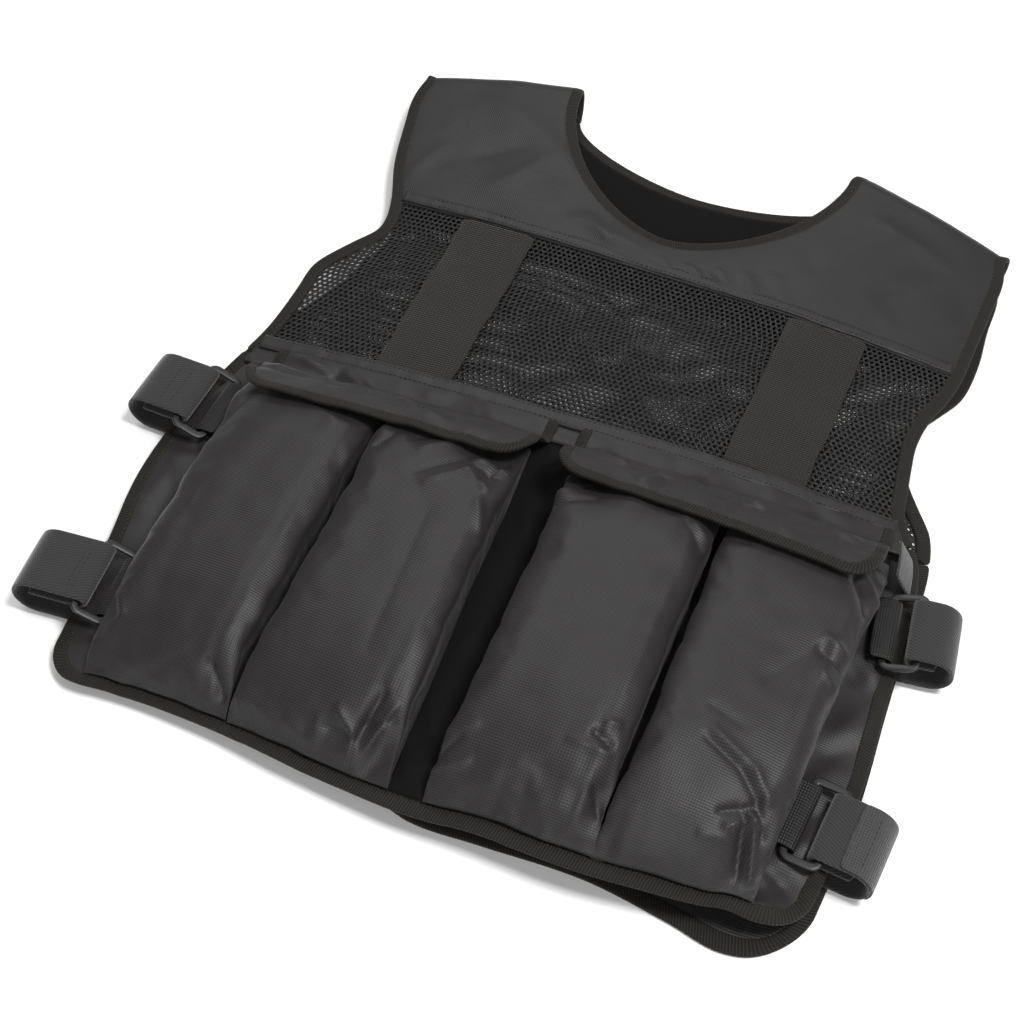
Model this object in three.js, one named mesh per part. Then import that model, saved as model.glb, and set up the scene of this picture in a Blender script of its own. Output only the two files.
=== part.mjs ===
// Weighted vest lying on its back, front up: millimetres, +Z up, +Y towards the neck.
import * as THREE from 'three';

// Whole garment, measured on the flat pattern from the hem up
const GARMENT_LENGTH = 529;
const HALF_WIDTH = 222;
const WAIST_HEIGHT = 256;
const YOKE_SEAM_HEIGHT = 395;
const SHOULDER_DROP = 25;
const NECK_HALF_WIDTH = 96;
const FRONT_NECK_DROP = 102;
const BACK_NECK_DROP = 36;
const NECK_ROUNDNESS = 1.68;
const HEM_CORNER_RADIUS = 30;

// How the garment lies
const FRONT_RISE = 24;
const LAY_SKEW = 0.077;
const HEM_SWAY = 8;
const HEM_SWAY_HEIGHT = 70;

// Cloth, tape and gaps
const CLOTH_THICKNESS = 2;
const YOKE_THICKNESS = 3;
const NET_THICKNESS = 1.6;
const WEBBING_THICKNESS = 1.6;
const BINDING_THICKNESS = 3.2;
const BINDING_WIDTH = 12;
const GAP = 0.3;

// Band, flaps and chest webbing
const BAND_WIDTH = 22;
const FLAP_DEPTH = 43;
const FLAP_CORNER_RADIUS = 20;
const FLAP_CLEARANCE = 1.2;
const WEBBING_WIDTH = 50;
const WEBBING_SPLAY = 5;

// Weight pockets
const POCKET_HEIGHT = 36;
const POCKET_HEAD_CLEARANCE = 13;
const POCKET_FOOT_LIFT = 7;
const POCKET_SQUARENESS = 5;

// Side straps, rings and anchors
const STRAP_WIDTH = 40;
const STRAP_THICKNESS = 2;
const STRAP_LOOP_HEIGHT = 24;
const STRAP_REACH = 30;
const STRAP_TUCK = 24;
const RING_LENGTH = 50;
const RING_WIDTH = 22;
const RING_BAR = 3.4;
const RING_CORNER_RADIUS = 4;
const ANCHOR_THICKNESS = 1.4;
const ANCHOR_REACH = 9;

// Hook-and-loop strip beside the right flap
const FASTENER_CLEARANCE = 2.5;
const FASTENER_HEIGHT = 16;
const FASTENER_THICKNESS = 1.6;
const FASTENER_LEAN = 0.35;

// Facets
const PANEL_ROWS = 8;
const NET_ROWS = 6;
const YOKE_ROWS = 5;
const COLUMNS = 16;
const YOKE_COURSES = 6;
const CORNER_STEPS = 3;
const FOLD_STEPS = 5;
const POCKET_ARC_STEPS = 12;
const POCKET_BASE_STEPS = 5;
const FLAP_ROWS = 4;
const FLAP_COLUMNS = 10;
const BEND_STEPS = 6;

// Side edges of the two layers as shares of the half width, at places from the hem to the neck end
const SIDE_EDGES = [
  { at: 0.0, front_left: 0.95, front_right: 0.94, back_left: 0.965, back_right: 0.955 },
  { at: 0.08, front_left: 0.97, front_right: 0.965, back_left: 0.985, back_right: 0.975 },
  { at: 0.18, front_left: 0.995, front_right: 0.985, back_left: 1.005, back_right: 0.99 },
  { at: 0.285, front_left: 1.03, front_right: 0.98, back_left: 1.035, back_right: 0.985 },
  { at: 0.39, front_left: 1.015, front_right: 0.975, back_left: 1.01, back_right: 0.982 },
  { at: 0.46, front_left: 0.975, front_right: 0.955, back_left: 0.995, back_right: 0.985 },
  { at: 0.52, front_left: 0.94, front_right: 0.885, back_left: 0.962, back_right: 0.96 },
  { at: 0.555, front_left: 0.93, front_right: 0.872, back_left: 0.93, back_right: 0.91 },
  { at: 0.59, front_left: 0.925, front_right: 0.862, back_left: 0.885, back_right: 0.862 },
  { at: 0.63, front_left: 0.918, front_right: 0.855, back_left: 0.84, back_right: 0.842 },
  { at: 0.675, front_left: 0.85, front_right: 0.87, back_left: 0.812, back_right: 0.85 },
  { at: 0.705, front_left: 0.8, front_right: 0.895, back_left: 0.79, back_right: 0.885 },
  { at: 0.745, front_left: 0.81, front_right: 0.915, back_left: 0.795, back_right: 0.93 },
  { at: 0.805, front_left: 0.865, front_right: 0.925, back_left: 0.86, back_right: 0.945 },
  { at: 0.865, front_left: 0.9, front_right: 0.935, back_left: 0.9, back_right: 0.94 },
  { at: 0.925, front_left: 0.925, front_right: 0.94, back_left: 0.925, back_right: 0.94 },
  { at: 1.0, front_left: 0.895, front_right: 0.9, back_left: 0.895, back_right: 0.9 },
];

// Height of the front cloth as shares of the front rise, across the width at five places
const FRONT_HEIGHTS = [
  { at: 0.0, left_edge: 0.36, left: 0.56, middle: 0.82, right: 1.12, right_edge: 0.68 },
  { at: 0.12, left_edge: 0.37, left: 0.58, middle: 0.8, right: 1.0, right_edge: 0.62 },
  { at: 0.29, left_edge: 0.38, left: 0.64, middle: 0.76, right: 0.82, right_edge: 0.52 },
  { at: 0.48, left_edge: 0.44, left: 0.76, middle: 0.9, right: 0.9, right_edge: 0.52 },
  { at: 0.62, left_edge: 0.52, left: 0.84, middle: 0.92, right: 0.92, right_edge: 0.54 },
  { at: 0.76, left_edge: 0.68, left: 0.96, middle: 1.0, right: 1.0, right_edge: 0.68 },
  { at: 1.0, left_edge: 0.94, left: 1.08, middle: 1.12, right: 1.08, right_edge: 0.92 },
];
const HEIGHT_PLACES = ['left_edge', 'left', 'middle', 'right', 'right_edge'];

// The lay: how much of the skew shows at a place
const LAY = [
  { at: 0.0, skew: 0 },
  { at: 0.51, skew: 0 },
  { at: 0.76, skew: 0.6 },
  { at: 0.93, skew: 0.9 },
  { at: 1.0, skew: 1 },
];

// How far the hem of each layer lies up or down, as a share of the hem sway, by share of the half width
const HEM_EDGE = [
  { at: -1.0, front: 0.2, back: 1.2 },
  { at: -0.75, front: 1.1, back: 1.7 },
  { at: -0.5, front: 0.9, back: 1.8 },
  { at: -0.3, front: 0.2, back: 1.7 },
  { at: -0.12, front: -0.3, back: 1.3 },
  { at: 0.03, front: -0.6, back: 0.1 },
  { at: 0.2, front: -0.5, back: 0.2 },
  { at: 0.45, front: -0.7, back: 0.4 },
  { at: 0.66, front: -0.1, back: -0.4 },
  { at: 0.8, front: 0.5, back: -1.1 },
  { at: 1.0, front: 0.1, back: 0.3 },
];

// Chest webbing: the middle of each at half its height as a share of the half width
const WEBBINGS = [
  { name: 'webbing_left', middle: -0.466 },
  { name: 'webbing_right', middle: 0.52 },
];

// Pockets: the sides at the hem end and at the head as shares of the half width
const POCKETS = [
  { name: 'pocket_1', foot_left: -0.838, foot_right: -0.473, head_left: -0.856, head_right: -0.459, high: 0.95 },
  { name: 'pocket_2', foot_left: -0.437, foot_right: -0.032, head_left: -0.428, head_right: -0.05, high: 1 },
  { name: 'pocket_3', foot_left: 0.068, foot_right: 0.459, head_left: 0.063, head_right: 0.468, high: 1 },
  { name: 'pocket_4', foot_left: 0.482, foot_right: 0.829, head_left: 0.491, head_right: 0.91, high: 0.95 },
];

// Sections of a filled pocket from hem end to head, as shares of its length, width and height
const POCKET_SECTIONS = [
  { at: 0.0, wide: 0.93, high: 0.4 },
  { at: 0.02, wide: 0.97, high: 0.68 },
  { at: 0.06, wide: 0.99, high: 0.88 },
  { at: 0.14, wide: 1.0, high: 0.97 },
  { at: 0.32, wide: 1.0, high: 1.0 },
  { at: 0.52, wide: 1.0, high: 0.99 },
  { at: 0.72, wide: 1.0, high: 1.0 },
  { at: 0.84, wide: 0.99, high: 0.96 },
  { at: 0.9, wide: 0.98, high: 0.88 },
  { at: 0.94, wide: 0.96, high: 0.78 },
  { at: 0.97, wide: 0.94, high: 0.64 },
  { at: 1.0, wide: 0.9, high: 0.42 },
];

// Main dents in the pockets: place and spread as shares of length and half width, depth of height
const POCKET_DENTS = [
  { pocket: 'pocket_1', at: 0.78, across: -0.75, long: 0.16, wide: 0.3, deep: 0.1 },
  { pocket: 'pocket_2', at: 0.04, across: 0.75, long: 0.07, wide: 0.25, deep: 0.3 },
  { pocket: 'pocket_2', at: 0.9, across: 0.6, long: 0.07, wide: 0.35, deep: 0.22 },
  { pocket: 'pocket_3', at: 0.9, across: -0.6, long: 0.06, wide: 0.35, deep: 0.28 },
  { pocket: 'pocket_3', at: 0.1, across: 0.85, long: 0.08, wide: 0.2, deep: 0.18 },
  { pocket: 'pocket_4', at: 0.08, across: 0.7, long: 0.1, wide: 0.3, deep: 0.2 },
  { pocket: 'pocket_4', at: 0.88, across: 0.85, long: 0.08, wide: 0.25, deep: 0.25 },
];

// Flaps: sides as shares of the half width, droop of the right end as a share of the flap depth
const FLAPS = [
  { name: 'flap_left', binding: 'flap_binding_left', left: -0.852, right: -0.036, droop: 0 },
  { name: 'flap_right', binding: 'flap_binding_right', left: 0.027, right: 0.874, droop: 0.2 },
];

// Straps: up of the waist height, seat and reach as shares of the strap reach, turn in radians
const STRAPS = [
  { name: 'top_left', side: -1, up: 0.796, seat: -0.53, reach: 0.93, turn: -0.05 },
  { name: 'bottom_left', side: -1, up: 0.254, seat: -0.52, reach: 1.1, turn: 0.07 },
  { name: 'top_right', side: 1, up: 0.748, seat: -0.08, reach: 0.93, turn: 0.1 },
  { name: 'bottom_right', side: 1, up: 0.24, seat: -0.5, reach: 0.76, turn: -0.1 },
];

const MATERIALS = {
  oxford: { color: 0x3a3a3d, roughness: 0.55, metalness: 0 },
  net: { color: 0x1d1c1c, roughness: 0.9, metalness: 0 },
  tape: { color: 0x2c2a27, roughness: 0.85, metalness: 0 },
  webbing: { color: 0x33312d, roughness: 0.85, metalness: 0 },
  loop: { color: 0x3b3b3c, roughness: 0.9, metalness: 0 },
  plastic: { color: 0x121213, roughness: 0.35, metalness: 0 },
};

const UP = new THREE.Vector3(0, 0, 1);
const vest = new THREE.Group();

// Value of a column at a place, on a smooth curve through the rows
function tableValue(rows, column, at) {
  const last = rows.length - 2;
  const next = rows.findIndex((row) => row.at > at);
  const i = next < 0 ? last : Math.min(Math.max(next - 1, 0), last);
  const slope = (k) => {
    const a = rows[Math.max(k - 1, 0)];
    const b = rows[Math.min(k + 1, rows.length - 1)];
    return (b[column] - a[column]) / (b.at - a.at);
  };
  const span = rows[i + 1].at - rows[i].at;
  const t = Math.min(Math.max((at - rows[i].at) / span, 0), 1);
  const t2 = t * t;
  const t3 = t2 * t;
  const start = (2 * t3 - 3 * t2 + 1) * rows[i][column] + (t3 - 2 * t2 + t) * span * slope(i);
  return start + (3 * t2 - 2 * t3) * rows[i + 1][column] + (t3 - t2) * span * slope(i + 1);
}

// Evenly spaced values from one end to the other
function spaced(from, to, steps) {
  return Array.from({ length: steps + 1 }, (_, i) => THREE.MathUtils.lerp(from, to, i / steps));
}

// Where a height on the pattern stands in the tables, which keep the waist and the yoke seam in place
const LEVELS = [
  { at: 0, height: 0 },
  { at: 0.484, height: WAIST_HEIGHT },
  { at: 0.747, height: YOKE_SEAM_HEIGHT },
  { at: 1, height: GARMENT_LENGTH },
];

function tableAt(y) {
  const next = LEVELS.findIndex((level) => level.height > y);
  const i = next < 0 ? LEVELS.length - 2 : Math.max(next - 1, 0);
  const [low, high] = [LEVELS[i], LEVELS[i + 1]];
  return THREE.MathUtils.mapLinear(y, low.height, high.height, low.at, high.at);
}

function halfWidth(side, y, layer = 'front') {
  return HALF_WIDTH * tableValue(SIDE_EDGES, `${layer}_${side < 0 ? 'left' : 'right'}`, tableAt(y));
}

// Height of the middle of the front cloth above the floor
function frontHeight(x, y) {
  const at = tableAt(y);
  const places = HEIGHT_PLACES.map((place, i) => ({
    at: -1 + (2 * i) / (HEIGHT_PLACES.length - 1),
    height: tableValue(FRONT_HEIGHTS, place, at),
  }));
  return FRONT_RISE * tableValue(places, 'height', x / halfWidth(x, y));
}

// Where a pattern point lies along the floor: skewed towards the neck, swaying at the hem
function laid(x, y, layer) {
  const skew = LAY_SKEW * tableValue(LAY, 'skew', tableAt(y));
  const fade = Math.max(0, 1 - y / HEM_SWAY_HEIGHT) ** 2;
  return y - skew * x + HEM_SWAY * fade * tableValue(HEM_EDGE, layer, x / HALF_WIDTH);
}

// A cell is a point in the middle of a sheet and the way its thickness runs
function frontCell(point, lift = 0) {
  const z = frontHeight(point.x, point.y) + lift;
  return { at: new THREE.Vector3(point.x, laid(point.x, point.y, 'front'), z), way: UP };
}

function backCell(point, thickness) {
  const at = new THREE.Vector3(point.x, laid(point.x, point.y, 'back'), thickness / 2);
  return { at, way: UP.clone().negate() };
}

// Rows of cells that carry a front row over the shoulder and down to the back
function shoulderFold(points, thickness) {
  const side = Math.sign(points[0].x);
  const line = frontCell(shoulderOuter(side)).at.sub(frontCell(shoulderInner(side)).at);
  const out = new THREE.Vector3(-line.y * side, line.x * side, 0).normalize();
  return spaced(0, Math.PI, FOLD_STEPS).slice(1).map((angle) => points.map((point) => {
    const top = frontCell(point).at;
    const radius = (top.z - thickness / 2) / 2;
    const way = out.clone().multiplyScalar(Math.sin(angle)).addScaledVector(UP, Math.cos(angle));
    const centre = top.clone().addScaledVector(UP, -radius);
    return { at: centre.addScaledVector(way, radius), way };
  }));
}

function shoulderInner(side) {
  return new THREE.Vector2(side * NECK_HALF_WIDTH, GARMENT_LENGTH);
}

function shoulderOuter(side) {
  const y = GARMENT_LENGTH - SHOULDER_DROP;
  return new THREE.Vector2(side * halfWidth(side, y), y);
}

// Geometry of a closed body from its corner points and its triangles, faces pointing out
function closedBody(points, triangles) {
  let volume = 0;
  for (const [a, b, c] of triangles) {
    volume += points[a].dot(new THREE.Vector3().crossVectors(points[b], points[c]));
  }
  const index = triangles.flatMap(([a, b, c]) => (volume > 0 ? [a, b, c] : [a, c, b]));
  const geometry = new THREE.BufferGeometry().setFromPoints(points);
  geometry.setIndex(index);
  geometry.computeVertexNormals();
  return geometry;
}

// A sheet of even thickness from a grid of cells
function sheet(grid, thickness) {
  const rows = grid.length;
  const columns = grid[0].length;
  const face = (sign) => grid.flat().map((cell) => cell.at.clone().addScaledVector(cell.way, sign * thickness / 2));
  const points = [...face(1), ...face(-1)];
  const upper = (i, j) => i * columns + j;
  const lower = (i, j) => rows * columns + i * columns + j;
  const triangles = [];
  const quad = (a, b, c, d) => triangles.push([a, b, c], [a, c, d]);
  for (let i = 0; i < rows - 1; i += 1) {
    for (let j = 0; j < columns - 1; j += 1) {
      quad(upper(i, j), upper(i, j + 1), upper(i + 1, j + 1), upper(i + 1, j));
      quad(lower(i + 1, j), lower(i + 1, j + 1), lower(i, j + 1), lower(i, j));
    }
    quad(lower(i + 1, 0), lower(i, 0), upper(i, 0), upper(i + 1, 0));
    quad(lower(i, columns - 1), lower(i + 1, columns - 1), upper(i + 1, columns - 1), upper(i, columns - 1));
  }
  for (let j = 0; j < columns - 1; j += 1) {
    quad(lower(0, j), lower(0, j + 1), upper(0, j + 1), upper(0, j));
    quad(lower(rows - 1, j + 1), lower(rows - 1, j), upper(rows - 1, j), upper(rows - 1, j + 1));
  }
  return closedBody(points, triangles);
}

function addPiece(name, geometry, finish, parent = vest) {
  const mesh = new THREE.Mesh(geometry, new THREE.MeshStandardMaterial(MATERIALS[finish]));
  mesh.name = name;
  parent.add(mesh);
  return mesh;
}

// A line of points moved sideways by a distance, towards the side that the hand gives
function inset(points, distance, hand) {
  return points.map((point, i) => {
    const before = points[Math.max(i - 1, 0)];
    const after = points[Math.min(i + 1, points.length - 1)];
    const along = after.clone().sub(before).normalize();
    return new THREE.Vector2(point.x + hand * along.y * distance, point.y - hand * along.x * distance);
  });
}

// A rounded lower corner, then the way up to the top, for the left or the right side of a tongue
function tongueSide(side, cornerX, low, radius, upper) {
  const arc = spaced(0, Math.PI / 2, CORNER_STEPS).map((angle) => new THREE.Vector2(
    cornerX - side * radius * (1 - Math.sin(angle)),
    low + radius * (1 - Math.cos(angle)),
  ));
  return [...arc, ...upper];
}

// Points between two lines of stations, row by row
function rowsBetween(left, right, columns) {
  return left.map((start, i) => spaced(0, 1, columns).map((t) => start.clone().lerp(right[i], t)));
}

// The side edge of the garment from the hem corner to the shoulder
const waistIndex = CORNER_STEPS + PANEL_ROWS;
const yokeIndex = waistIndex + NET_ROWS;
const shoulderIndex = yokeIndex + YOKE_ROWS;

function sideStations(side, layer) {
  const heights = [
    ...spaced(HEM_CORNER_RADIUS, WAIST_HEIGHT, PANEL_ROWS).slice(1),
    ...spaced(WAIST_HEIGHT, YOKE_SEAM_HEIGHT, NET_ROWS).slice(1),
    ...spaced(YOKE_SEAM_HEIGHT, GARMENT_LENGTH - SHOULDER_DROP, YOKE_ROWS).slice(1),
  ];
  const upper = heights.map((y) => new THREE.Vector2(side * halfWidth(side, y, layer), y));
  return tongueSide(side, side * halfWidth(side, HEM_CORNER_RADIUS, layer), 0, HEM_CORNER_RADIUS, upper);
}

// The outline of a layer, the inner side of the tape along it and the cloth beside the tape
function outlines(layer) {
  const left = sideStations(-1, layer);
  const right = sideStations(1, layer);
  const within = (distance) => ({ left: inset(left, distance, 1), right: inset(right, distance, -1) });
  return { edge: within(0), tape: within(BINDING_WIDTH), cloth: within(BINDING_WIDTH + GAP) };
}

const front = outlines('front');
const back = outlines('back');

// Neck edge from the left shoulder to the right one
function neckLine(drop, steps) {
  const power = 2 / NECK_ROUNDNESS;
  return spaced(-Math.PI / 2, Math.PI / 2, steps).map((angle) => new THREE.Vector2(
    NECK_HALF_WIDTH * Math.sign(angle) * Math.abs(Math.sin(angle)) ** power,
    GARMENT_LENGTH - drop * Math.abs(Math.cos(angle)) ** power,
  ));
}

function moved(points, dy) {
  return points.map((point) => new THREE.Vector2(point.x, point.y + dy));
}

// The three panels of the front or the back, with the tape's width left free along the sides
function panelRows(layer, from, to, gap) {
  const left = layer.cloth.left.slice(from, to + 1);
  const right = layer.cloth.right.slice(from, to + 1);
  const rows = rowsBetween(left, right, COLUMNS);
  rows[0] = moved(rows[0], gap);
  rows[rows.length - 1] = moved(rows[rows.length - 1], -gap);
  return rows;
}

function yokeRows({ cloth }, drop) {
  const seam = rowsBetween([cloth.left[yokeIndex]], [cloth.right[yokeIndex]], COLUMNS)[0];
  const outer = [
    ...cloth.left.slice(yokeIndex + 1).reverse(),
    ...seam,
    ...cloth.right.slice(yokeIndex + 1),
  ];
  const neck = inset(neckLine(drop, outer.length - 1), BINDING_WIDTH + GAP, 1);
  return neck.map((start, i) => spaced(0, 1, YOKE_COURSES).map((t) => start.clone().lerp(outer[i], t)));
}

// The rows of a piece that goes over both shoulders, from the left back to the right back
function overShoulders(rows, thickness) {
  return [
    ...shoulderFold(rows[0], thickness).reverse(),
    ...rows.map((row) => row.map((point) => frontCell(point))),
    ...shoulderFold(rows[rows.length - 1], thickness),
  ];
}

function backShoulderGap(rows) {
  rows[0] = moved(rows[0], -GAP);
  rows[rows.length - 1] = moved(rows[rows.length - 1], -GAP);
  return rows;
}

function pairs(outer, inner) {
  return outer.map((point, i) => [point, inner[i]]);
}

function frontSheet(rows, thickness) {
  return sheet(rows.map((row) => row.map((point) => frontCell(point))), thickness);
}

function backSheet(rows, thickness) {
  return sheet(rows.map((row) => row.map((point) => backCell(point, thickness))), thickness);
}

function addPanels() {
  addPiece('front_panel', frontSheet(panelRows(front, 0, waistIndex, 0), CLOTH_THICKNESS), 'oxford');
  addPiece('back_panel', backSheet(panelRows(back, 0, waistIndex, 0), CLOTH_THICKNESS), 'oxford');
  addPiece('front_mesh', frontSheet(panelRows(front, waistIndex, yokeIndex, GAP), NET_THICKNESS), 'net');
  addPiece('back_mesh', backSheet(panelRows(back, waistIndex, yokeIndex, GAP), NET_THICKNESS), 'net');
}

function addYokes() {
  const over = overShoulders(yokeRows(front, FRONT_NECK_DROP), YOKE_THICKNESS);
  addPiece('front_yoke', sheet(over, YOKE_THICKNESS), 'oxford');
  const behind = backShoulderGap(yokeRows(back, BACK_NECK_DROP));
  addPiece('back_yoke', backSheet(behind, YOKE_THICKNESS), 'oxford');
}

function addNeckBindings() {
  const steps = 2 * YOKE_ROWS + COLUMNS;
  const frontLine = neckLine(FRONT_NECK_DROP, steps);
  const over = overShoulders(pairs(frontLine, inset(frontLine, BINDING_WIDTH, 1)), BINDING_THICKNESS);
  addPiece('front_neck_binding', sheet(over, BINDING_THICKNESS), 'tape');
  const backLine = neckLine(BACK_NECK_DROP, steps);
  const behind = backShoulderGap(pairs(backLine, inset(backLine, BINDING_WIDTH, 1)));
  addPiece('back_neck_binding', backSheet(behind, BINDING_THICKNESS), 'tape');
}

function addArmholeBindings() {
  for (const side of ['left', 'right']) {
    const [rows, behind] = [front, back].map(({ edge, tape }) => {
      const found = pairs(edge[side].slice(waistIndex), tape[side].slice(waistIndex));
      found[0] = moved(found[0], GAP);
      return found;
    });
    const grid = [
      ...rows.map((row) => row.map((point) => frontCell(point))),
      ...shoulderFold(rows[rows.length - 1], BINDING_THICKNESS),
      ...behind.slice(0, -1).reverse().map((row) => row.map((point) => backCell(point, BINDING_THICKNESS))),
    ];
    addPiece(`armhole_binding_${side}`, sheet(grid, BINDING_THICKNESS), 'tape');
  }
}

// The tape from the waist down one side, along the hem and up the other side
function hemRows({ edge, tape }) {
  const sides = (line) => [line.left.slice(0, waistIndex + 1), line.right.slice(0, waistIndex + 1)];
  const [outerLeft, outerRight] = sides(edge);
  const [innerLeft, innerRight] = sides(tape);
  const hem = spaced(0, 1, COLUMNS).slice(1, -1);
  return [
    ...pairs(outerLeft, innerLeft).reverse(),
    ...hem.map((t) => [outerLeft[0].clone().lerp(outerRight[0], t), innerLeft[0].clone().lerp(innerRight[0], t)]),
    ...pairs(outerRight, innerRight),
  ];
}

function addHemBindings() {
  addPiece('front_hem_binding', frontSheet(hemRows(front), BINDING_THICKNESS), 'tape');
  addPiece('back_hem_binding', backSheet(hemRows(back), BINDING_THICKNESS), 'tape');
}

const bandLow = WAIST_HEIGHT - BAND_WIDTH / 2;
const bandHigh = WAIST_HEIGHT + BAND_WIDTH / 2;

function addBand() {
  const rim = BINDING_WIDTH + 2 * GAP;
  const lift = (BINDING_THICKNESS + CLOTH_THICKNESS) / 2 + GAP;
  const grid = [bandLow, WAIST_HEIGHT, bandHigh].map((y) => {
    const left = -halfWidth(-1, y) + rim;
    const right = halfWidth(1, y) - rim;
    return spaced(left, right, COLUMNS).map((x) => frontCell(new THREE.Vector2(x, y), lift));
  });
  addPiece('front_band', sheet(grid, CLOTH_THICKNESS), 'oxford');
}

function addWebbing() {
  const lift = (NET_THICKNESS + WEBBING_THICKNESS) / 2 + GAP;
  for (const webbing of WEBBINGS) {
    const grid = spaced(bandHigh + GAP, YOKE_SEAM_HEIGHT - 2 * GAP, NET_ROWS).map((y) => {
      const up = (y - bandHigh) / (YOKE_SEAM_HEIGHT - bandHigh);
      const centre = HALF_WIDTH * webbing.middle + WEBBING_SPLAY * (up - 0.5);
      return spaced(centre - WEBBING_WIDTH / 2, centre + WEBBING_WIDTH / 2, 3)
        .map((x) => frontCell(new THREE.Vector2(x, y), lift));
    });
    addPiece(webbing.name, sheet(grid, WEBBING_THICKNESS), 'webbing');
  }
}

const pocketFoot = BINDING_WIDTH + 2 * GAP;
const pocketHead = bandLow - POCKET_HEAD_CLEARANCE;

function pocketPlace(y) {
  return (y - pocketFoot) / (pocketHead - pocketFoot);
}

function dentDepth(name, at, across) {
  const dents = POCKET_DENTS.filter((dent) => dent.pocket === name);
  return dents.reduce((sum, dent) => {
    const far = ((at - dent.at) / dent.long) ** 2 + ((across - dent.across) / dent.wide) ** 2;
    return sum + dent.deep * Math.exp(-far);
  }, 0);
}

// One closed section of a pocket: over the top from left to right, then back along the base
function pocketSection(pocket, section) {
  const y = THREE.MathUtils.lerp(pocketFoot, pocketHead, section.at);
  const left = HALF_WIDTH * THREE.MathUtils.lerp(pocket.foot_left, pocket.head_left, section.at);
  const right = HALF_WIDTH * THREE.MathUtils.lerp(pocket.foot_right, pocket.head_right, section.at);
  const half = (section.wide * (right - left)) / 2;
  const power = 2 / POCKET_SQUARENESS;
  const point = (across, rise) => {
    const x = (left + right) / 2 + half * across;
    const base = frontHeight(x, y) + CLOTH_THICKNESS / 2 + GAP + POCKET_FOOT_LIFT * across ** 6;
    const top = POCKET_HEIGHT * pocket.high * section.high * (1 - dentDepth(pocket.name, section.at, across));
    return new THREE.Vector3(x, laid(x, y, 'front'), base + rise * (top - POCKET_FOOT_LIFT * across ** 6));
  };
  const over = spaced(Math.PI, 0, POCKET_ARC_STEPS).map((angle) => {
    const across = Math.sign(Math.cos(angle)) * Math.abs(Math.cos(angle)) ** power;
    return point(across, Math.abs(Math.sin(angle)) ** power);
  });
  const under = spaced(1, -1, POCKET_BASE_STEPS + 1).slice(1, -1).map((across) => point(across, 0));
  return [...over, ...under];
}

function pocketBody(pocket) {
  const sections = POCKET_SECTIONS.map((section) => pocketSection(pocket, section));
  const count = sections[0].length;
  const points = sections.flat();
  const triangles = [];
  for (let i = 0; i < sections.length - 1; i += 1) {
    for (let j = 0; j < count; j += 1) {
      const next = (j + 1) % count;
      triangles.push([i * count + j, (i + 1) * count + j, (i + 1) * count + next]);
      triangles.push([i * count + j, (i + 1) * count + next, i * count + next]);
    }
  }
  for (const [first, turn] of [[0, 1], [(sections.length - 1) * count, -1]]) {
    const ring = points.slice(first, first + count);
    const centre = ring.reduce((sum, point) => sum.add(point), new THREE.Vector3()).divideScalar(count);
    points.push(centre);
    for (let j = 0; j < count; j += 1) {
      const ends = [first + j, first + ((j + 1) % count)];
      triangles.push([points.length - 1, ends[turn > 0 ? 0 : 1], ends[turn > 0 ? 1 : 0]]);
    }
  }
  return closedBody(points, triangles);
}

// Height of a flap over the front cloth: from the band up over the heads of the pockets
function flapLift(y) {
  const band = (BINDING_THICKNESS + CLOTH_THICKNESS) / 2 + GAP;
  const over = CLOTH_THICKNESS / 2 + GAP + FLAP_CLEARANCE + BINDING_THICKNESS / 2;
  const at = pocketPlace(y);
  if (at < 1) {
    return over + POCKET_HEIGHT * tableValue(POCKET_SECTIONS, 'high', at);
  }
  const head = over + POCKET_HEIGHT * tableValue(POCKET_SECTIONS, 'high', 1);
  return THREE.MathUtils.mapLinear(y, pocketHead, bandLow, head, band);
}

function addFlaps() {
  const top = bandLow - GAP;
  const low = top - FLAP_DEPTH;
  for (const flap of FLAPS) {
    const heights = spaced(low + FLAP_CORNER_RADIUS, top, FLAP_ROWS).slice(1);
    const sides = [[-1, flap.left], [1, flap.right]].map(([side, share]) => {
      const x = HALF_WIDTH * share;
      return tongueSide(side, x, low, FLAP_CORNER_RADIUS, heights.map((y) => new THREE.Vector2(x, y)));
    });
    const cell = (point) => {
      const across = (point.x / HALF_WIDTH - flap.left) / (flap.right - flap.left);
      const free = (top - point.y) / FLAP_DEPTH;
      const hung = new THREE.Vector2(point.x, point.y - FLAP_DEPTH * flap.droop * across * free);
      return frontCell(hung, flapLift(hung.y));
    };
    const [left, right] = sides;
    const inner = (distance) => [inset(left, distance, 1), inset(right, distance, -1)];
    const [clothLeft, clothRight] = inner(BINDING_WIDTH + GAP);
    addPiece(flap.name, sheet(rowsBetween(clothLeft, clothRight, FLAP_COLUMNS).map((row) => row.map(cell)),
      CLOTH_THICKNESS), 'oxford');
    const [tapeLeft, tapeRight] = inner(BINDING_WIDTH);
    const between = spaced(0, 1, FLAP_COLUMNS).slice(1, -1);
    const rows = [
      ...pairs(left, tapeLeft).reverse(),
      ...between.map((t) => [left[0].clone().lerp(right[0], t), tapeLeft[0].clone().lerp(tapeRight[0], t)]),
      ...pairs(right, tapeRight),
    ];
    addPiece(flap.binding, sheet(rows.map((row) => row.map(cell)), BINDING_THICKNESS), 'tape');
  }
}

// A ribbon of even width along a path drawn in the plane of outward and up
function ribbon(path, side, width, thickness) {
  const points = path.getPoints(BEND_STEPS);
  const grid = points.map((point, i) => {
    const before = points[Math.max(i - 1, 0)];
    const after = points[Math.min(i + 1, points.length - 1)];
    const along = after.clone().sub(before).normalize();
    const way = new THREE.Vector3(-side * along.y, 0, along.x);
    return [-width / 2, width / 2].map((y) => ({ at: new THREE.Vector3(side * point.x, y, point.y), way }));
  });
  return sheet(grid, thickness);
}

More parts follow.
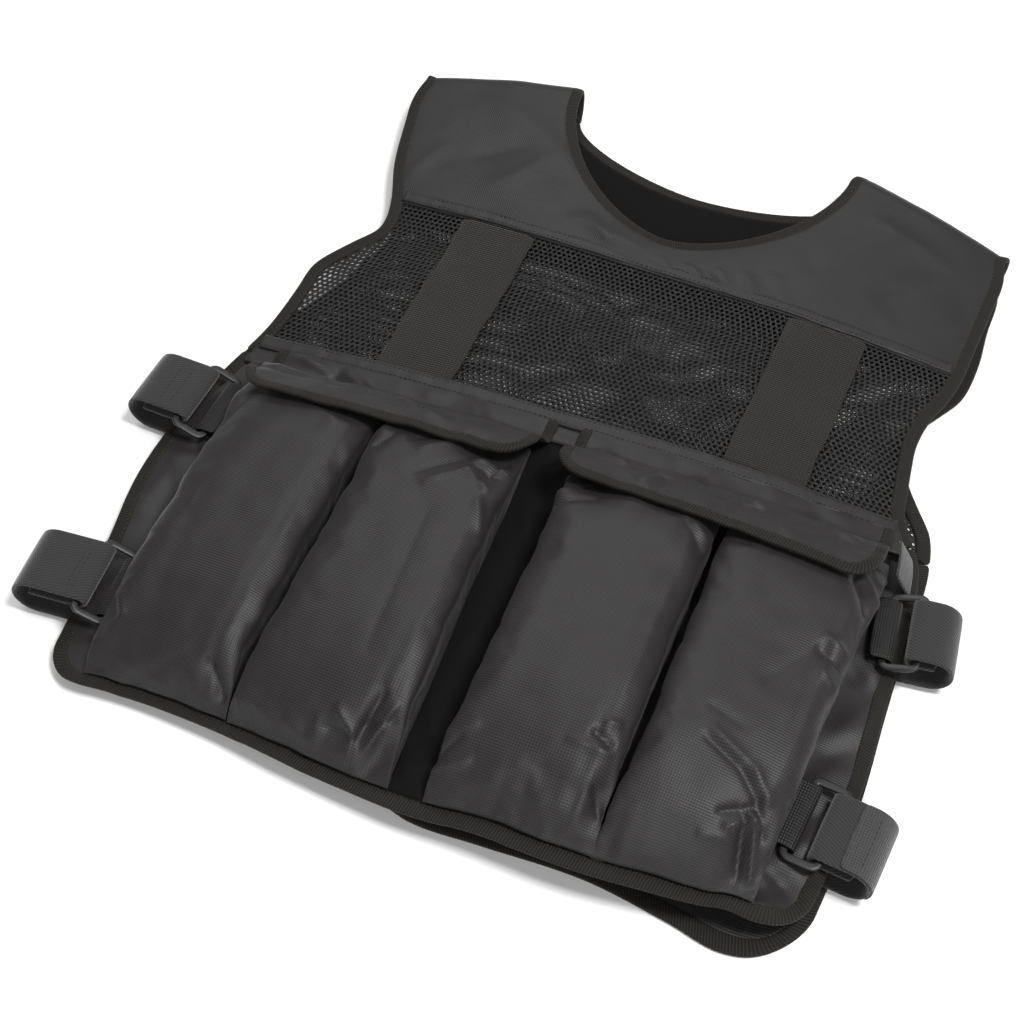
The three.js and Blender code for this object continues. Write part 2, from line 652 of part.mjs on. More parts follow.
function ringGeometry() {
  const outline = (shape, x, y, radius) => shape
    .moveTo(x - radius, -y)
    .absarc(x - radius, -y + radius, radius, -Math.PI / 2, 0)
    .absarc(x - radius, y - radius, radius, 0, Math.PI / 2)
    .absarc(-x + radius, y - radius, radius, Math.PI / 2, Math.PI)
    .absarc(-x + radius, -y + radius, radius, Math.PI, 1.5 * Math.PI)
    .closePath();
  const shape = new THREE.Shape();
  outline(shape, RING_WIDTH / 2, RING_LENGTH / 2, RING_CORNER_RADIUS);
  const window = new THREE.Path();
  outline(window, RING_WIDTH / 2 - RING_BAR, RING_LENGTH / 2 - RING_BAR, RING_CORNER_RADIUS / 4);
  shape.holes.push(window);
  const geometry = new THREE.ExtrudeGeometry(shape, { depth: RING_BAR, bevelEnabled: false, curveSegments: 2 });
  return geometry.translate(0, 0, -RING_BAR / 2);
}

// Height of the middle of an anchor that lies flat over the side of the front
function anchorSeat(side, x, y) {
  const under = [x - ANCHOR_REACH, x].flatMap((near) => [-0.5, 0, 0.5]
    .map((share) => frontHeight(side * near, y + share * STRAP_WIDTH)));
  return Math.max(...under) + BINDING_THICKNESS / 2 + GAP + ANCHOR_THICKNESS / 2;
}

function addStraps() {
  for (const strap of STRAPS) {
    const y = WAIST_HEIGHT * strap.up;
    const edgeX = halfWidth(strap.side, y);
    const seat = STRAP_REACH * strap.seat;
    const reach = STRAP_REACH * strap.reach;
    const barSpread = RING_WIDTH - RING_BAR;
    const barReach = RING_BAR * Math.SQRT1_2 + GAP;
    const anchorTurn = barReach + ANCHOR_THICKNESS / 2;
    const barTurn = barReach + STRAP_THICKNESS / 2;
    const lowZ = BINDING_THICKNESS + GAP + STRAP_THICKNESS / 2;
    const highZ = lowZ + STRAP_LOOP_HEIGHT;
    const outerZ = highZ - barTurn;
    const innerZ = anchorSeat(strap.side, edgeX + seat - barSpread / 2, y) + anchorTurn;
    const tilt = Math.asin((outerZ - innerZ) / barSpread);
    const barInner = seat - (barSpread / 2) * Math.cos(tilt);
    const barOuter = seat + (barSpread / 2) * Math.cos(tilt);
    const loopRadius = STRAP_LOOP_HEIGHT / 2;
    const loopCentre = reach - loopRadius - STRAP_THICKNESS / 2;

    const place = new THREE.Group();
    place.position.set(strap.side * edgeX, laid(strap.side * edgeX, y, 'front'), 0);
    place.rotation.z = strap.turn;
    vest.add(place);

    const loop = new THREE.Path();
    loop.moveTo(-STRAP_TUCK, lowZ);
    loop.lineTo(loopCentre, lowZ);
    loop.absarc(loopCentre, lowZ + loopRadius, loopRadius, -Math.PI / 2, Math.PI / 2);
    loop.lineTo(barOuter, highZ);
    loop.absarc(barOuter, outerZ, barTurn, Math.PI / 2, 1.5 * Math.PI);
    loop.lineTo(loopCentre + loopRadius / 4, outerZ - barTurn);
    addPiece(`strap_${strap.name}`, ribbon(loop, strap.side, STRAP_WIDTH, STRAP_THICKNESS), 'loop', place);

    const hold = new THREE.Path();
    hold.moveTo(barInner - ANCHOR_REACH, innerZ - anchorTurn);
    hold.lineTo(barInner, innerZ - anchorTurn);
    hold.absarc(barInner, innerZ, anchorTurn, -Math.PI / 2, Math.PI / 2);
    hold.lineTo(barInner - RING_BAR, innerZ + anchorTurn);
    addPiece(`anchor_${strap.name}`, ribbon(hold, strap.side, STRAP_WIDTH - GAP, ANCHOR_THICKNESS),
      'webbing', place);

    const ring = addPiece(`ring_${strap.name}`, ringGeometry(), 'plastic', place);
    ring.position.set(strap.side * seat, 0, (innerZ + outerZ) / 2);
    ring.rotation.y = -strap.side * tilt;
  }
}

// The hook-and-loop strip stands on the tape at the side, leaning over the head of the last pocket
function addFastener() {
  const ring = STRAPS.find((strap) => strap.name === 'top_right');
  const low = WAIST_HEIGHT * ring.up + RING_LENGTH / 2 + FASTENER_CLEARANCE;
  const grid = spaced(low, bandLow, 4).map((y) => {
    const foot = new THREE.Vector2(halfWidth(1, y) - BINDING_WIDTH / 2, y);
    return spaced(0, FASTENER_HEIGHT, 2).map((up) => {
      const cell = frontCell(foot, BINDING_THICKNESS / 2 + GAP + FASTENER_LEAN * FASTENER_THICKNESS + up);
      cell.at.x -= FASTENER_LEAN * up;
      cell.way = new THREE.Vector3(1, 0, FASTENER_LEAN).normalize();
      return cell;
    });
  });
  addPiece('fastener_strip_right', sheet(grid, FASTENER_THICKNESS), 'loop');
}

addPanels();
addYokes();
addNeckBindings();
addArmholeBindings();
addHemBindings();
addBand();
addWebbing();
for (const pocket of POCKETS) {
  addPiece(pocket.name, pocketBody(pocket), 'oxford');
}
addFlaps();
addStraps();
addFastener();

// The origin is on the floor under the middle of the vest
vest.updateMatrixWorld(true);
const bounds = new THREE.Box3().setFromObject(vest);
const centre = bounds.getCenter(new THREE.Vector3());
vest.position.set(-centre.x, -centre.y, -bounds.min.z);

export default vest;
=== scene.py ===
"""A weighted vest lying on its back, front up, modelled as the cloth, net, tape and webbing it is sewn from."""
import logging
import math
from collections.abc import Callable, Sequence
from dataclasses import dataclass
from enum import Enum

import bmesh
import bpy
import numpy as np
from mathutils import Matrix, Vector, noise


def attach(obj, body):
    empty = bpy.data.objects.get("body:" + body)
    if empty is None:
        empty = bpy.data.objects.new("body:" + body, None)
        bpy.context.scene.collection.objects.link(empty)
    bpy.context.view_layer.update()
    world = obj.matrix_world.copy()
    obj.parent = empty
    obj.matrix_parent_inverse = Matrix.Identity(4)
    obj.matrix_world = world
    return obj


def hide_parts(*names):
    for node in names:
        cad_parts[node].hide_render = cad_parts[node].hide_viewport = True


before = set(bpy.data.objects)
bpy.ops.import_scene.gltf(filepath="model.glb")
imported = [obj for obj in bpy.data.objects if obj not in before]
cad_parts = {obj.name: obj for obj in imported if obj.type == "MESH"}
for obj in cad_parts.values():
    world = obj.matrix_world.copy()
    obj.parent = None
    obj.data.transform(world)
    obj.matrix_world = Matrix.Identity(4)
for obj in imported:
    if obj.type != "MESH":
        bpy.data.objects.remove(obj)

LOG = logging.getLogger("vest")
MM = 0.001
Array = np.ndarray


class Slot(Enum):
    """The material slots of the record."""

    OXFORD = "oxford"
    NET = "net"
    TAPE = "tape"
    WEBBING = "webbing"
    LOOP = "loop_strap"
    PLASTIC = "plastic"


class Layer(Enum):
    """The two layers of the vest."""

    FRONT = "front"
    BACK = "back"


# Steps along each side line from the hem up and over a shoulder, and its stations at waist and seam
CORNER_STEPS = 10
PANEL_STEPS = 44
NET_STEPS = 30
YOKE_STEPS = 24
FOLD_STEPS = 14
WAIST_STATION = CORNER_STEPS + PANEL_STEPS
SEAM_STATION = WAIST_STATION + NET_STEPS

# Side edges as shares of the half width: place, front left, front right, back left, back right
SIDE_EDGES = (
    (0.0, 0.95, 0.94, 0.965, 0.955),
    (0.08, 0.97, 0.965, 0.985, 0.975),
    (0.18, 0.995, 0.985, 1.005, 0.99),
    (0.285, 1.03, 0.98, 1.035, 0.985),
    (0.39, 1.015, 0.975, 1.01, 0.982),
    (0.46, 0.975, 0.955, 0.995, 0.985),
    (0.52, 0.94, 0.885, 0.962, 0.96),
    (0.555, 0.93, 0.872, 0.93, 0.91),
    (0.59, 0.925, 0.862, 0.885, 0.862),
    (0.63, 0.918, 0.855, 0.84, 0.842),
    (0.675, 0.85, 0.87, 0.812, 0.85),
    (0.705, 0.8, 0.895, 0.79, 0.885),
    (0.745, 0.81, 0.915, 0.795, 0.93),
    (0.805, 0.865, 0.925, 0.86, 0.945),
    (0.865, 0.9, 0.935, 0.9, 0.94),
    (0.925, 0.925, 0.94, 0.925, 0.94),
    (1.0, 0.895, 0.9, 0.895, 0.9),
)

# Height of the front cloth as shares of the front rise, at five places across
FRONT_HEIGHTS = (
    (0.0, 0.36, 0.56, 0.82, 1.12, 0.68),
    (0.12, 0.37, 0.58, 0.8, 1.0, 0.62),
    (0.29, 0.38, 0.64, 0.76, 0.82, 0.52),
    (0.48, 0.44, 0.76, 0.9, 0.9, 0.52),
    (0.62, 0.52, 0.84, 0.92, 0.92, 0.54),
    (0.76, 0.68, 0.96, 1.0, 1.0, 0.68),
    (1.0, 0.94, 1.08, 1.12, 1.08, 0.92),
)
LAY_SKEWS = ((0.0, 0.0), (0.51, 0.0), (0.76, 0.6), (0.93, 0.9), (1.0, 1.0))

# Sway of the hem, by share of the half width: front layer, back layer
HEM_EDGE = (
    (-1.0, 0.2, 1.2),
    (-0.75, 1.1, 1.7),
    (-0.5, 0.9, 1.8),
    (-0.3, 0.2, 1.7),
    (-0.12, -0.3, 1.3),
    (0.03, -0.6, 0.1),
    (0.2, -0.5, 0.2),
    (0.45, -0.7, 0.4),
    (0.66, -0.1, -0.4),
    (0.8, 0.5, -1.1),
    (1.0, 0.1, 0.3),
)


def column(rows: Sequence[Sequence[float]], index: int) -> Array:
    """One column of a table."""
    return np.array([row[index] for row in rows])


def smooth(at: Array, values: Array, place: Array) -> Array:
    """Values on a smooth curve through the rows of a table.

    Args:
        at: places of the rows.
        values: one value for each row, or a line of them for each place asked for.
        place: the places asked for.

    Returns:
        The values there.
    """
    place = np.atleast_1d(np.asarray(place, float))
    rows = np.broadcast_to(np.asarray(values, float), (len(place), len(at)))
    i = np.clip(np.searchsorted(at, place, side="right") - 1, 0, len(at) - 2)
    low = np.maximum(i - 1, 0)
    high = np.minimum(i + 2, len(at) - 1)

    def pick(k: Array) -> Array:
        """The value of row k for each place."""
        return np.take_along_axis(rows, k[:, None], axis=1)[:, 0]

    span = at[i + 1] - at[i]
    t = np.clip((place - at[i]) / span, 0, 1)
    start = (pick(i + 1) - pick(low)) / (at[i + 1] - at[low])
    end = (pick(high) - pick(i)) / (at[high] - at[i])
    first = (2 * t**3 - 3 * t**2 + 1) * pick(i) + (t**3 - 2 * t**2 + t) * span * start
    return first + (3 * t**2 - 2 * t**3) * pick(i + 1) + (t**3 - t**2) * span * end


def inset(line: Array, distance: float, hand: int) -> Array:
    """A line of points moved sideways.

    Args:
        line: points in a row.
        distance: how far they move, in mm.
        hand: 1 or -1 for the side that they move to.

    Returns:
        The moved points.
    """
    along = np.empty_like(line)
    along[1:-1] = line[2:] - line[:-2]
    along[0] = line[1] - line[0]
    along[-1] = line[-1] - line[-2]
    along /= np.linalg.norm(along, axis=1)[:, None]
    return line + hand * distance * np.stack([along[:, 1], -along[:, 0]], axis=1)


@dataclass(frozen=True)
class Pattern:
    """The flat pattern of the vest in mm, y up from the hem, and the way its two layers lie."""

    length: float = 529
    half: float = 222
    waist: float = 256
    seam: float = 395
    shoulder_drop: float = 25
    neck_half: float = 96
    front_neck_drop: float = 102
    back_neck_drop: float = 36
    neck_roundness: float = 1.68
    corner_radius: float = 30
    rise: float = 24
    skew: float = 0.077
    sway: float = 8
    sway_height: float = 70
    cloth: float = 2
    yoke: float = 3
    net: float = 1.6
    tape: float = 3.4
    tape_width: float = 8.8
    under: float = 6
    gap: float = 0.3
    band: float = 22
    origin_x: float = 3.85
    origin_y: float = -270.77

    def level(self, y: Array) -> Array:
        """The place in the tables of heights on the pattern."""
        return np.interp(y, [0, self.waist, self.seam, self.length], [0, 0.484, 0.747, 1])

    def half_width(self, side: Array | int, y: Array, layer: Layer = Layer.FRONT) -> Array:
        """The distance of the side edge from the middle.

        Args:
            side: below zero for the left edge.
            y: heights on the pattern.
            layer: front or back.

        Returns:
            The distances in mm.
        """
        first = 1 if layer is Layer.FRONT else 3
        at = column(SIDE_EDGES, 0)
        place = self.level(np.atleast_1d(y))
        left = smooth(at, column(SIDE_EDGES, first), place)
        right = smooth(at, column(SIDE_EDGES, first + 1), place)
        return self.half * np.where(np.asarray(side) < 0, left, right)

    def height(self, x: Array, y: Array) -> Array:
        """Height of the middle of the front cloth above the floor."""
        place = self.level(y)
        at = column(FRONT_HEIGHTS, 0)
        columns = np.stack([smooth(at, column(FRONT_HEIGHTS, k), place) for k in range(1, 6)], axis=1)
        return self.rise * smooth(np.linspace(-1, 1, 5), columns, x / self.half_width(x, y))

    def laid(self, x: Array, y: Array, layer: Layer) -> Array:
        """Where a pattern point lies along the floor: skewed towards the neck, swaying at the hem."""
        skew = self.skew * smooth(column(LAY_SKEWS, 0), column(LAY_SKEWS, 1), self.level(y))
        fade = np.maximum(0, 1 - y / self.sway_height) ** 2
        sway = smooth(column(HEM_EDGE, 0), column(HEM_EDGE, 1 if layer is Layer.FRONT else 2), x / self.half)
        return y - skew * x + self.sway * fade * sway

    def front(self, x: Array, y: Array, lift: Array | float = 0.0) -> Array:
        """Points over the front cloth, in mm in the part's frame."""
        x, y = np.asarray(x, float), np.asarray(y, float)
        z = self.height(x, y) + lift + folded(RIPPLES, x, y)
        return np.stack([x + self.origin_x, self.laid(x, y, Layer.FRONT) + self.origin_y, z], axis=1)

    def behind(self, x: Array, y: Array, lift: Array | float, thickness: float) -> Array:
        """Points at the back cloth, with lift measured down from its middle."""
        x, y = np.asarray(x, float), np.asarray(y, float)
        z = thickness / 2 - lift + np.zeros_like(x)
        return np.stack([x + self.origin_x, self.laid(x, y, Layer.BACK) + self.origin_y, z], axis=1)

    def shoulder(self, side: int) -> tuple[Array, Array]:
        """The outer and the inner end of a shoulder line on the pattern."""
        y = self.length - self.shoulder_drop
        outer = np.array([side * self.half_width(side, y)[0], y])
        return outer, np.array([side * self.neck_half, self.length])

    def fold(self, x: Array, y: Array, angle: Array, lift: Array | float, thickness: float) -> Array:
        """Points carried over a shoulder.

        Args:
            x: places across of the shoulder line.
            y: places along of the shoulder line.
            angle: 0 on top of the fold, pi under it.
            lift: distance out from the middle of the cloth.
            thickness: thickness of the cloth.

        Returns:
            The points in mm in the part's frame.
        """
        side = int(np.sign(x[0]))
        outer, inner = self.shoulder(side)
        line = self.front(outer[:1], outer[1:])[0] - self.front(inner[:1], inner[1:])[0]
        out = np.array([-line[1] * side, line[0] * side, 0])
        out /= np.linalg.norm(out)
        top = self.front(x, y)
        radius = ((top[:, 2] - thickness / 2) / 2)[:, None]
        angle = np.asarray(angle)[:, None]
        way = out * np.sin(angle) + np.array([0, 0, 1]) * np.cos(angle)
        centre = top - np.array([0, 0, 1]) * radius
        lifted = np.broadcast_to(lift, (len(top),))[:, None]
        return centre + way * (radius + lifted)

    def side_line(self, side: int, layer: Layer) -> Array:
        """The side edge from the hem corner to the shoulder.

        Args:
            side: -1 for the left edge, 1 for the right one.
            layer: front or back.

        Returns:
            Points on the pattern.
        """
        r = self.corner_radius
        turn = np.linspace(0, math.pi / 2, CORNER_STEPS + 1)
        corner_x = side * self.half_width(side, r, layer)[0]
        arc = np.stack([corner_x - side * r * (1 - np.sin(turn)), r * (1 - np.cos(turn))], axis=1)
        y = np.concatenate([
            np.linspace(r, self.waist, PANEL_STEPS + 1)[1:],
            np.linspace(self.waist, self.seam, NET_STEPS + 1)[1:],
            np.linspace(self.seam, self.length - self.shoulder_drop, YOKE_STEPS + 1)[1:],
        ])
        upper = np.stack([side * self.half_width(side, y, layer), y], axis=1)
        return np.concatenate([arc, upper])

    def neck_line(self, drop: float, steps: int) -> Array:
        """The neck edge from the left shoulder to the right one."""
        power = 2 / self.neck_roundness
        turn = np.linspace(-math.pi / 2, math.pi / 2, steps + 1)
        x = self.neck_half * np.sign(turn) * np.abs(np.sin(turn)) ** power
        return np.stack([x, self.length - drop * np.abs(np.cos(turn)) ** power], axis=1)


@dataclass(frozen=True)
class Fold:
    """A crease or a soft ridge in cloth, along a line on the pattern, in mm."""

    x0: float
    y0: float
    x1: float
    y1: float
    width: float
    height: float

    def lift(self, x: Array, y: Array) -> Array:
        """How much it raises points on the pattern."""
        dx, dy = self.x1 - self.x0, self.y1 - self.y0
        size = max(math.hypot(dx, dy), 1e-6)
        t = ((x - self.x0) * dx + (y - self.y0) * dy) / size**2
        aside = ((x - self.x0) * dy - (y - self.y0) * dx) / size
        past = np.maximum(0, np.abs(t - 0.5) - 0.5) * size
        swell = np.clip(1.15 - np.abs(2 * t - 1) ** 3 * 0.6, 0, 1)
        away = np.sqrt((aside**2 + past**2) / self.width**2 + 0.03)
        return self.height * swell * np.exp(1.7 * (0.17 - away))


def folded(folds: Sequence[Fold], x: Array, y: Array) -> Array:
    """The relief of several folds."""
    return sum((fold.lift(x, y) for fold in folds), np.zeros_like(x))


def lumps(x: Array, y: Array, size: float, seed: float) -> Array:
    """Soft unevenness of lying cloth, from -1 to 1.

    Args:
        x: places across in mm.
        y: places along in mm.
        size: distance between lumps in mm.
        seed: picks another pattern.

    Returns:
        The unevenness at each point.
    """
    return np.array([noise.noise(Vector((a / size, b / size, seed))) for a, b in zip(x, y)])


# Materials


def linear(colour: str) -> tuple[float, float, float, float]:
    """An sRGB hex colour as linear values with full opacity."""
    parts = (int(colour[i:i + 2], 16) / 255 for i in (1, 3, 5))
    return (*(c / 12.92 if c <= 0.04045 else ((c + 0.055) / 1.055) ** 2.4 for c in parts), 1.0)


def add(tree: bpy.types.NodeTree, kind: str, settings: dict | None = None, **links: object) -> bpy.types.Node:
    """Adds a node.

    Args:
        tree: the material's node tree.
        kind: the node's type name.
        settings: properties of the node, or values of its inputs by name.
        links: sockets that feed inputs, by the input's name with underscores, or by input_N.

    Returns:
        The node.
    """
    node = tree.nodes.new(kind)
    for key, value in (settings or {}).items():
        if hasattr(node, key):
            setattr(node, key, value)
        else:
            node.inputs[key].default_value = value
    for key, socket in links.items():
        place = int(key[6:]) if key.startswith("input_") else key.replace("_", " ")
        tree.links.new(socket, node.inputs[place])
    return node


@dataclass(frozen=True)
class Woven:
    """A woven finish: two sets of ribs on the cloth's own coordinates, with sheen and soft unevenness.

    Pitches are in mm between ribs; turn is the angle of the ribs to the cloth's width in degrees.
    """

    name: str
    light: str
    dark: str
    warp_pitch: float
    weft_pitch: float
    turn: float = 0.0
    weft_share: float = 0.5
    relief: float = 0.25
    strength: float = 0.5
    roughness: float = 0.6
    sheen: float = 0.1
    specular: float = 0.5
    fuzz: float = 0.0
    mottle: float = 0.35
    solid: bool = False

    def material(self) -> bpy.types.Material:
        """Builds the finish."""
        material = bpy.data.materials.new(self.name)
        material.use_nodes = True
        tree = material.node_tree
        tree.nodes.clear()
        if self.solid:
            # the cloth wraps round the filling, so its coordinates run over the ridges
            place = add(tree, "ShaderNodeTexCoord").outputs["Object"]
            place = add(tree, "ShaderNodeMapping", {"Rotation": (0, math.radians(45), 0),
                                                    "Scale": (math.sqrt(2), 1, math.sqrt(2))},
                        Vector=place).outputs["Vector"]
        else:
            place = add(tree, "ShaderNodeUVMap", {"uv_map": "Weave"}).outputs["UV"]
        turned = add(tree, "ShaderNodeMapping", {"Rotation": (0, 0, math.radians(self.turn))}, Vector=place)
        ribs = []
        for direction, pitch in (("X", self.warp_pitch), ("Y", self.weft_pitch)):
            # a band texture repeats every 0.31416 units at scale 1
            wave = add(tree, "ShaderNodeTexWave", {"wave_type": "BANDS", "bands_direction": direction,
                                                   "Scale": 0.31416 / (pitch * MM), "Distortion": 0.25,
                                                   "Detail": 1.0, "Detail Scale": 2.0},
                       Vector=turned.outputs["Vector"])
            ribs.append(wave.outputs["Fac"])
        weave = add(tree, "ShaderNodeMix", {"data_type": "FLOAT", "Factor": self.weft_share},
                    input_2=ribs[0], input_3=ribs[1]).outputs[0]
        coarse = add(tree, "ShaderNodeTexNoise", {"Scale": 55.0, "Detail": 4.0, "Roughness": 0.6},
                     Vector=place).outputs["Fac"]
        fine = add(tree, "ShaderNodeTexNoise", {"Scale": 1400.0, "Detail": 2.0}, Vector=place).outputs["Fac"]
        shade = add(tree, "ShaderNodeMix", {"data_type": "FLOAT", "Factor": self.mottle},
                    input_2=weave, input_3=coarse).outputs[0]
        colour = add(tree, "ShaderNodeMix", {"data_type": "RGBA"}, input_0=shade)
        colour.inputs[6].default_value = linear(self.dark)
        colour.inputs[7].default_value = linear(self.light)
        height = add(tree, "ShaderNodeMix", {"data_type": "FLOAT", "Factor": self.fuzz},
                     input_2=weave, input_3=fine).outputs[0]
        bump = add(tree, "ShaderNodeBump", {"Strength": self.strength, "Distance": self.relief * MM},
                   Height=height)
        spread = {"To Min": self.roughness - 0.07, "To Max": self.roughness + 0.07}
        rough = add(tree, "ShaderNodeMapRange", spread, Value=coarse)
        shader = add(tree, "ShaderNodeBsdfPrincipled",
                     {"Sheen Weight": self.sheen, "Sheen Roughness": 0.45, "Specular IOR Level": self.specular,
                      "Metallic": 0.0},
                     Base_Color=colour.outputs[2], Roughness=rough.outputs["Result"],
                     Normal=bump.outputs["Normal"])
        add(tree, "ShaderNodeOutputMaterial", Surface=shader.outputs["BSDF"])
        return material


@dataclass(frozen=True)
class Moulded:
    """Injection-moulded plastic with a fine, slightly uneven skin."""

    name: str
    colour: str
    roughness: float = 0.3
    grain: float = 700.0

    def material(self) -> bpy.types.Material:
        """Builds the finish."""
        material = bpy.data.materials.new(self.name)
        material.use_nodes = True
        tree = material.node_tree
        tree.nodes.clear()
        place = add(tree, "ShaderNodeTexCoord").outputs["Object"]
        grain = add(tree, "ShaderNodeTexNoise", {"Scale": self.grain, "Detail": 3.0}, Vector=place)
        grain = grain.outputs["Fac"]
        spread = {"To Min": self.roughness - 0.06, "To Max": self.roughness + 0.1}
        rough = add(tree, "ShaderNodeMapRange", spread, Value=grain)
        bump = add(tree, "ShaderNodeBump", {"Strength": 0.15, "Distance": 0.1 * MM}, Height=grain)
        shader = add(tree, "ShaderNodeBsdfPrincipled", {"Base Color": linear(self.colour), "IOR": 1.5},
                     Roughness=rough.outputs["Result"], Normal=bump.outputs["Normal"])
        add(tree, "ShaderNodeOutputMaterial", Surface=shader.outputs["BSDF"])
        return material


class Finishes:
    """The finishes of the vest, made once."""

    def __init__(self) -> None:
        """Builds every finish."""
        # Polyester oxford, coated, cut with its ribs on the slant: a dull satin, neutral to faintly warm.
        self.bias = Woven("Polyester_oxford_slanted", "#282627", "#171617", 2.6, 1.35, turn=52,
                          weft_share=0.75, relief=0.2, strength=0.5, roughness=0.5, sheen=0.04,
                          specular=0.33, mottle=0.35).material()
        # The same cloth with its ribs straight across, over pockets, flaps, band and lower panels.
        self.oxford = Woven("Polyester_oxford_ribbed", "#2e2b2d", "#111011", 1.5, 1.35, turn=2,
                            weft_share=0.66, relief=0.2, strength=0.55, roughness=0.5, sheen=0.04,
                            specular=0.33, mottle=0.2).material()
        # Polyester lining, brushed and matt, near black: the real lining inside the neck, darkened further as
        # painted shade under the front yoke, and the painted shade sheet between the pockets.
        self.lining_and_shade = Woven("Polyester_lining_and_painted_shade", "#0d0c0c", "#060606", 1.0, 1.0, turn=45,
                            relief=0.15, strength=0.4, roughness=0.9, sheen=0.03, specular=0.15, fuzz=0.5,
                            mottle=0.5).material()
        # Polyester tricot net, warp knitted: black threads, matt with small glints on their turns.
        self.net = Woven("Polyester_net_knitted", "#151212", "#030303", 0.9, 0.9, turn=45, relief=0.4,
                         strength=0.8, roughness=0.42, sheen=0.0, specular=0.5, mottle=0.45).material()
        # Polypropylene grosgrain binding, woven with ribs across: brownish black, matt.
        self.tape = Woven("Grosgrain_binding", "#27241f", "#080707", 40.0, 1.6, turn=10, weft_share=0.94,
                          relief=0.4, strength=0.8, roughness=0.75, sheen=0.04, specular=0.25,
                          mottle=0.15).material()
        # Polypropylene webbing in a coarse basket weave: brownish black with visible picks.
        self.webbing = Woven("Polypropylene_webbing", "#28241f", "#020202", 2.0, 1.6, weft_share=0.55,
                             relief=1.0, strength=1.0, roughness=0.75, sheen=0.1, specular=0.35,
                             mottle=0.12).material()
        # Polypropylene webbing in a close weave, for the tabs at the rings: black with a dull gloss.
        self.tab = Woven("Polypropylene_tab_webbing", "#1a1817", "#060505", 1.7, 1.4, weft_share=0.6,
                         relief=0.4, strength=0.8, roughness=0.55, sheen=0.03, specular=0.35,
                         mottle=0.12).material()
        # Nylon loop pile strap on a twill ground: dense brushed loops, charcoal, no gloss.
        self.loop = Woven("Nylon_loop_strap", "#383738", "#1b1a1a", 1.7, 1.3, turn=28, weft_share=0.35,
                          relief=0.4, strength=0.8, roughness=0.85, sheen=0.35, specular=0.3, fuzz=0.4,
                          mottle=0.2).material()
        # Nylon hook tape: stiff little hooks that glint in places.
        self.hook = Woven("Nylon_hook_tape", "#434344", "#0d0d0d", 1.5, 1.5, turn=0, relief=0.8,
                          strength=1.0, roughness=0.6, sheen=0.2, specular=0.5, fuzz=0.4,
                          mottle=0.2).material()
        # Acetal, injection moulded: black with a soft gloss.
        self.plastic = Moulded("Acetal_moulded", "#131313", 0.42).material()
        # Polyester sewing thread: black, set into the cloth.
        self.thread = Woven("Polyester_thread", "#131213", "#080808", 0.5, 0.5, roughness=0.55, sheen=0.1,
                            mottle=0.3).material()


# Meshes


def link(name: str, mesh: bpy.types.Mesh, *modifiers: tuple[str, dict]) -> bpy.types.Object:
    """Puts a mesh in the scene, shaded smooth.

    Args:
        name: name of the object.
        mesh: its mesh.
        modifiers: kinds of modifiers with their settings.

    Returns:
        The object.
    """
    mesh.polygons.foreach_set("use_smooth", [True] * len(mesh.polygons))
    piece = bpy.data.objects.new(name, mesh)
    bpy.context.scene.collection.objects.link(piece)
    for kind, settings in modifiers:
        modifier = piece.modifiers.new(kind.capitalize(), kind)
        for key, value in settings.items():
            setattr(modifier, key, value)
    return piece


def subdivided(levels: int) -> tuple[str, dict]:
    """A subdivision surface with the same levels in view and render."""
    return "SUBSURF", {"levels": levels, "render_levels": levels}


def thickened(thickness: float) -> tuple[str, dict]:
    """Gives a sheet its thickness in mm, half to each side."""
    return "SOLIDIFY", {"thickness": thickness * MM, "offset": 0.0, "use_even_offset": False}


def surface(points: Array, weave: Array, closed: bool = False, ring: bool = False) -> bpy.types.Mesh:
    """A sheet or a tube from a flat grid whose points are moved to their places.

    Args:
        points: places in mm, rows by columns by 3.
        weave: the cloth's own coordinates in mm, rows by columns by 2.
        closed: joins the first column to the last, and fills the two ends.
        ring: joins the first row to the last instead of filling the ends.

    Returns:
        The mesh.
    """
    rows, columns = points.shape[:2]
    cloth = bmesh.new()
    cloth.loops.layers.uv.new("Weave")
    bmesh.ops.create_grid(cloth, x_segments=columns - 1, y_segments=rows - 1, size=1.0)
    mesh = bpy.data.meshes.new("cloth")
    cloth.to_mesh(mesh)
    cloth.free()
    flat = np.empty(len(mesh.vertices) * 3)
    mesh.vertices.foreach_get("co", flat)
    flat = (flat.reshape(-1, 3) + 1) / 2
    j = np.rint(flat[:, 0] * (columns - 1)).astype(int)
    i = np.rint(flat[:, 1] * (rows - 1)).astype(int)
    mesh.vertices.foreach_set("co", (points[i, j] * MM).ravel())
    corners = np.empty(len(mesh.loops), dtype=np.int32)
    mesh.loops.foreach_get("vertex_index", corners)
    mesh.uv_layers["Weave"].data.foreach_set("uv", (weave[i, j][corners] * MM).ravel())
    if closed:
        body = bmesh.new()
        body.from_mesh(mesh)
        bmesh.ops.remove_doubles(body, verts=body.verts, dist=2e-6)
        if not ring:
            ends = [edge for edge in body.edges if edge.is_boundary]
            bmesh.ops.holes_fill(body, edges=ends, sides=0)
        bmesh.ops.recalc_face_normals(body, faces=body.faces)
        body.to_mesh(mesh)
        body.free()
    mesh.update()
    return mesh


def lengths(line: Array) -> Array:
    """Distance along a line of points at each of them."""
    steps = np.linalg.norm(np.diff(line, axis=0), axis=1)
    return np.concatenate([[0], np.cumsum(steps)])


def evened(line: Array, count: int) -> Array:
    """The same line with evenly spaced points."""
    along = lengths(line)
    at = np.linspace(0, along[-1], count)
    return np.stack([np.interp(at, along, line[:, k]) for k in range(line.shape[1])], axis=1)


